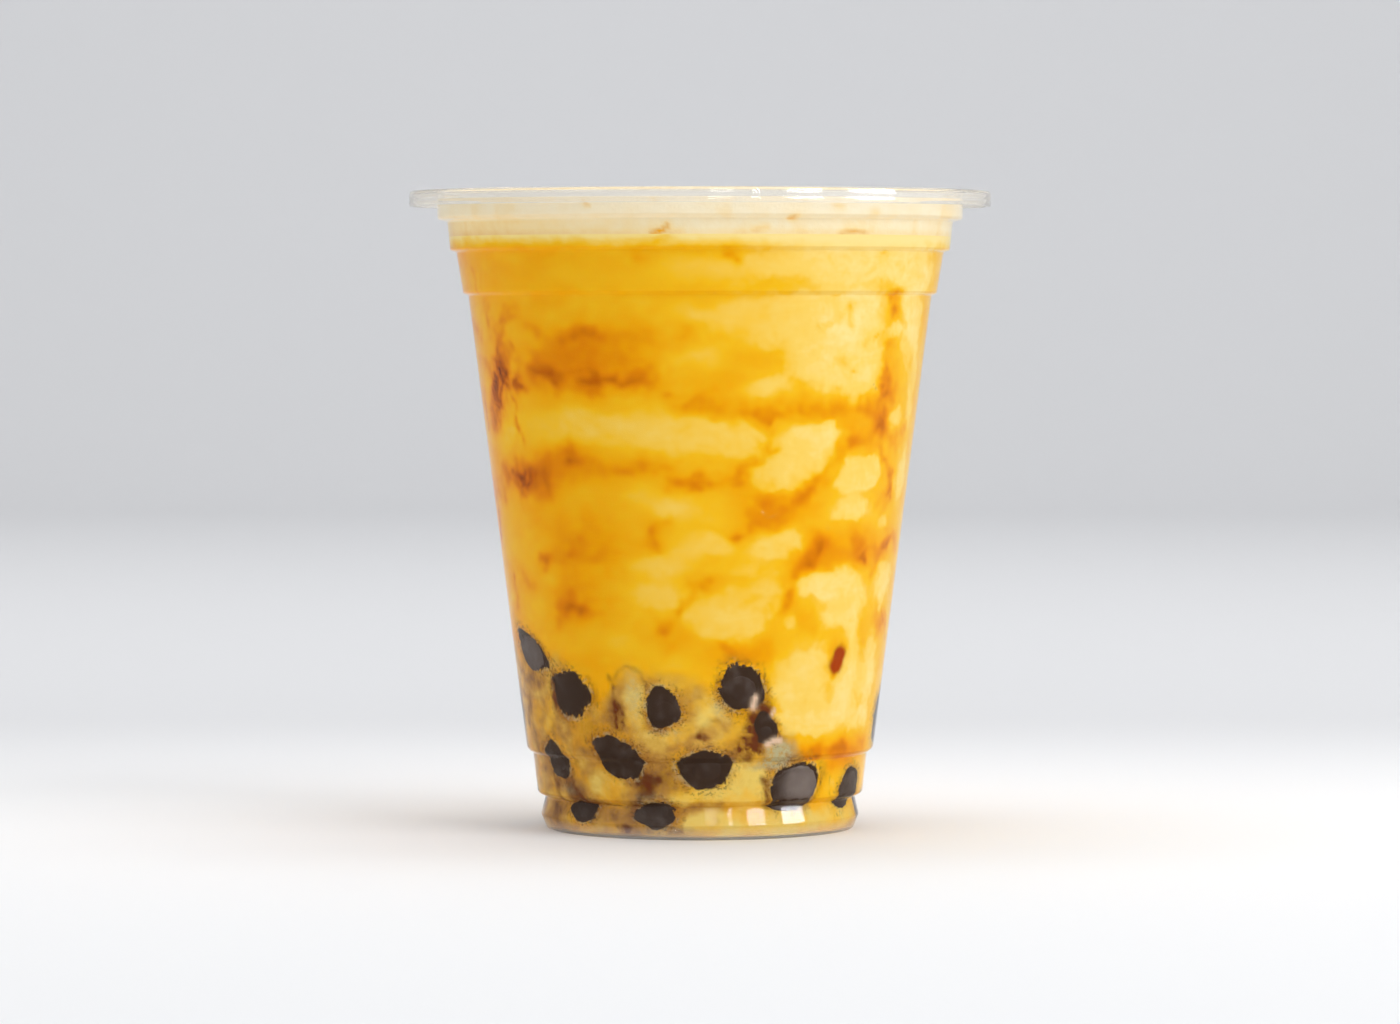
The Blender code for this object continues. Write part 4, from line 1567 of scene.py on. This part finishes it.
class MakeMilkFoam(bpy.types.Operator):
    """Float the milk foam on the tea"""

    bl_idname = "bubble_tea.make_milk_foam"
    bl_label = "Milk foam"

    def execute(self, context):
        foam = turned("foam", finely(foam_outline(), FOAM_ROW), FOAM_SEGMENTS)
        points = points_of(foam)
        store(foam, "tone", foam_tone(points))
        radius = np.hypot(points[:, 0], points[:, 1])
        on_top = (points[:, 2] > DRINK_LEVEL - 0.01) & (radius < COLLAR_INSIDE - 0.6)
        points[:, 2] += on_top * FOAM_RELIEF * waves(points, 6.0, 16)
        move_points(foam, points)
        dress(foam, milk_foam())
        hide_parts("milk_foam")
        return {"FINISHED"}


def foam_tone(points):
    """Tone of the foam at each point, from 0 for white foam to 1 for syrup."""
    arc = np.radians(1.0) * BANDS[0].top_radius
    side = azimuths(points)
    low = 1.0 - fade(points[:, 2] + 0.3 * waves(points, 3.0, 14), TEA_TOP, TEA_TOP + 1.4)
    step = 1.0 - fade(points[:, 2], BANDS[1].top - 0.2, BANDS[0].bottom)
    # Painted shade: the foam is deeper in tone towards the left of the front, most of all below the collar
    left = fade(-side, -10.0, 60.0) * (1.0 - fade(np.abs(side), 85.0, 110.0))
    swirl = fade(waves(points * (1.0, 1.0, 0.6), 5.0, 15), 0.25, 0.7)
    tone = 0.12 + 0.16 * low + left * (0.02 + 0.17 * step) + 0.10 * swirl
    at_wall = np.hypot(points[:, 0], points[:, 1]) > FLECK_RADIUS
    flecks = stroke_cover(side, points[:, 2], arc, FOAM_FLECKS, 1.0, 1.0) * at_wall
    drifts = fade(waves(points, 13.0, 17), -0.1, 0.5) + 0.6 * fade(waves(points, 4.5, 18), 0.1, 0.6)
    on_top = (1.0 - at_wall) * (points[:, 2] > DRINK_LEVEL - 0.5)
    return np.clip(tone + flecks + on_top * (0.10 + 0.18 * drifts), 0.0, 1.0)


class MakeFoamBubbles(bpy.types.Operator):
    """Scatter fine bubbles over the foam"""

    bl_idname = "bubble_tea.make_foam_bubbles"
    bl_label = "Foam bubbles"

    # Radius of the finest bubbles, and how much larger the largest are
    LEAST = 0.18
    RANGE = 0.55

    def execute(self, context):
        rng = random.Random(BUBBLE_SEED)
        reach = COLLAR_INSIDE - 1.5
        points = []
        faces = []
        for _ in range(settings().foam.bubbles):
            size = self.LEAST + self.RANGE * rng.random() ** 4
            away = reach * math.sqrt(rng.random())
            turn = rng.uniform(0, 2 * math.pi)
            centre = (away * math.cos(turn), away * math.sin(turn), DRINK_LEVEL - 0.02)
            add_dome(points, faces, centre, size, size * rng.uniform(0.45, 0.8))
        bubbles = mesh_object("foam_bubbles", points, faces)
        dress(bubbles, bubble_skin())
        return {"FINISHED"}


class MakeWallDrops(bpy.types.Operator):
    """Leave a few fine drops on the outside of the cup, and one at its foot"""

    bl_idname = "bubble_tea.make_wall_drops"
    bl_label = "Wall drops"

    def execute(self, context):
        heights, radii = wall_profile(0.05)
        points = []
        faces = []
        for azimuth, height, radius in WALL_DROPS:
            turn = math.radians(azimuth)
            out = Vector((math.sin(turn), -math.cos(turn), 0.0))
            centre = out * float(np.interp(height, heights, radii)) + Vector((0.0, 0.0, height))
            add_dome(points, faces, centre, radius, radius * 0.5, out)
        drops = mesh_object("wall_drops", points, faces)
        dress(drops, water())
        return {"FINISHED"}


def add_dome(points, faces, centre, radius, rise, up=Vector((0.0, 0.0, 1.0))):
    """Add a low dome that stands on a flat spot facing up, closed below."""
    rounds, rows = DOME_ROUNDS, DOME_ROWS
    first = len(points)
    across = up.orthogonal().normalized()
    along = up.cross(across)
    centre = Vector(centre)
    for row in range(rows):
        lift = math.sin(math.pi / 2 * row / rows)
        wide = math.cos(math.pi / 2 * row / rows)
        for step in range(rounds):
            turn = 2 * math.pi * step / rounds
            level = (across * math.cos(turn) + along * math.sin(turn)) * radius * wide
            points.append(tuple((centre + level + up * rise * lift) * MM))
    top = len(points)
    points.append(tuple((centre + up * rise) * MM))
    for step in range(rounds):
        after = (step + 1) % rounds
        for row in range(rows - 1):
            here = first + row * rounds
            faces.append((here + step, here + after, here + rounds + after, here + rounds + step))
        last = first + (rows - 1) * rounds
        faces.append((last + step, last + after, top))
    faces.append(tuple(first + step for step in reversed(range(rounds))))


class BubbleTeaSettings(bpy.types.PropertyGroup):
    """All sizes and colours of the bubble tea"""

    cup: PointerProperty(type=BubbleTeaCup)
    drink: PointerProperty(type=BubbleTeaDrink)
    pearls: PointerProperty(type=BubbleTeaPearls)
    foam: PointerProperty(type=BubbleTeaFoam)
    stage: PointerProperty(type=BubbleTeaStage)


class BubbleTeaPanel(bpy.types.Panel):
    """Lists the pieces and their sizes and colours"""

    bl_idname = "VIEW3D_PT_bubble_tea"
    bl_label = "Bubble Tea"
    bl_space_type = "VIEW_3D"
    bl_region_type = "UI"
    bl_category = "Bubble Tea"

    def draw(self, context):
        for operator in OPERATORS:
            self.layout.operator(operator.bl_idname)
        for group in ("cup", "drink", "pearls", "foam", "stage"):
            box = self.layout.box()
            values = getattr(context.scene.bubble_tea, group)
            for name in values.__annotations__:
                box.prop(values, name)


GROUPS = (BubbleTeaCup, BubbleTeaDrink, BubbleTeaPearls, BubbleTeaFoam, BubbleTeaStage, BubbleTeaSettings)
OPERATORS = (MakeStage, MakeCup, MakeMilkTea, MakePearls, MakeMilkFoam, MakeFoamBubbles, MakeWallDrops)


def register():
    """Add the settings, operators and panel to Blender."""
    for part in GROUPS + OPERATORS + (BubbleTeaPanel,):
        bpy.utils.register_class(part)
    bpy.types.Scene.bubble_tea = PointerProperty(type=BubbleTeaSettings)


def unregister():
    """Take the settings, operators and panel out again."""
    del bpy.types.Scene.bubble_tea
    for part in reversed(GROUPS + OPERATORS + (BubbleTeaPanel,)):
        bpy.utils.unregister_class(part)


def main():
    """Make every piece in order."""
    register()
    for operator in OPERATORS:
        group, name = operator.bl_idname.split(".")
        getattr(getattr(bpy.ops, group), name)()


if __name__ == "__main__":
    main()
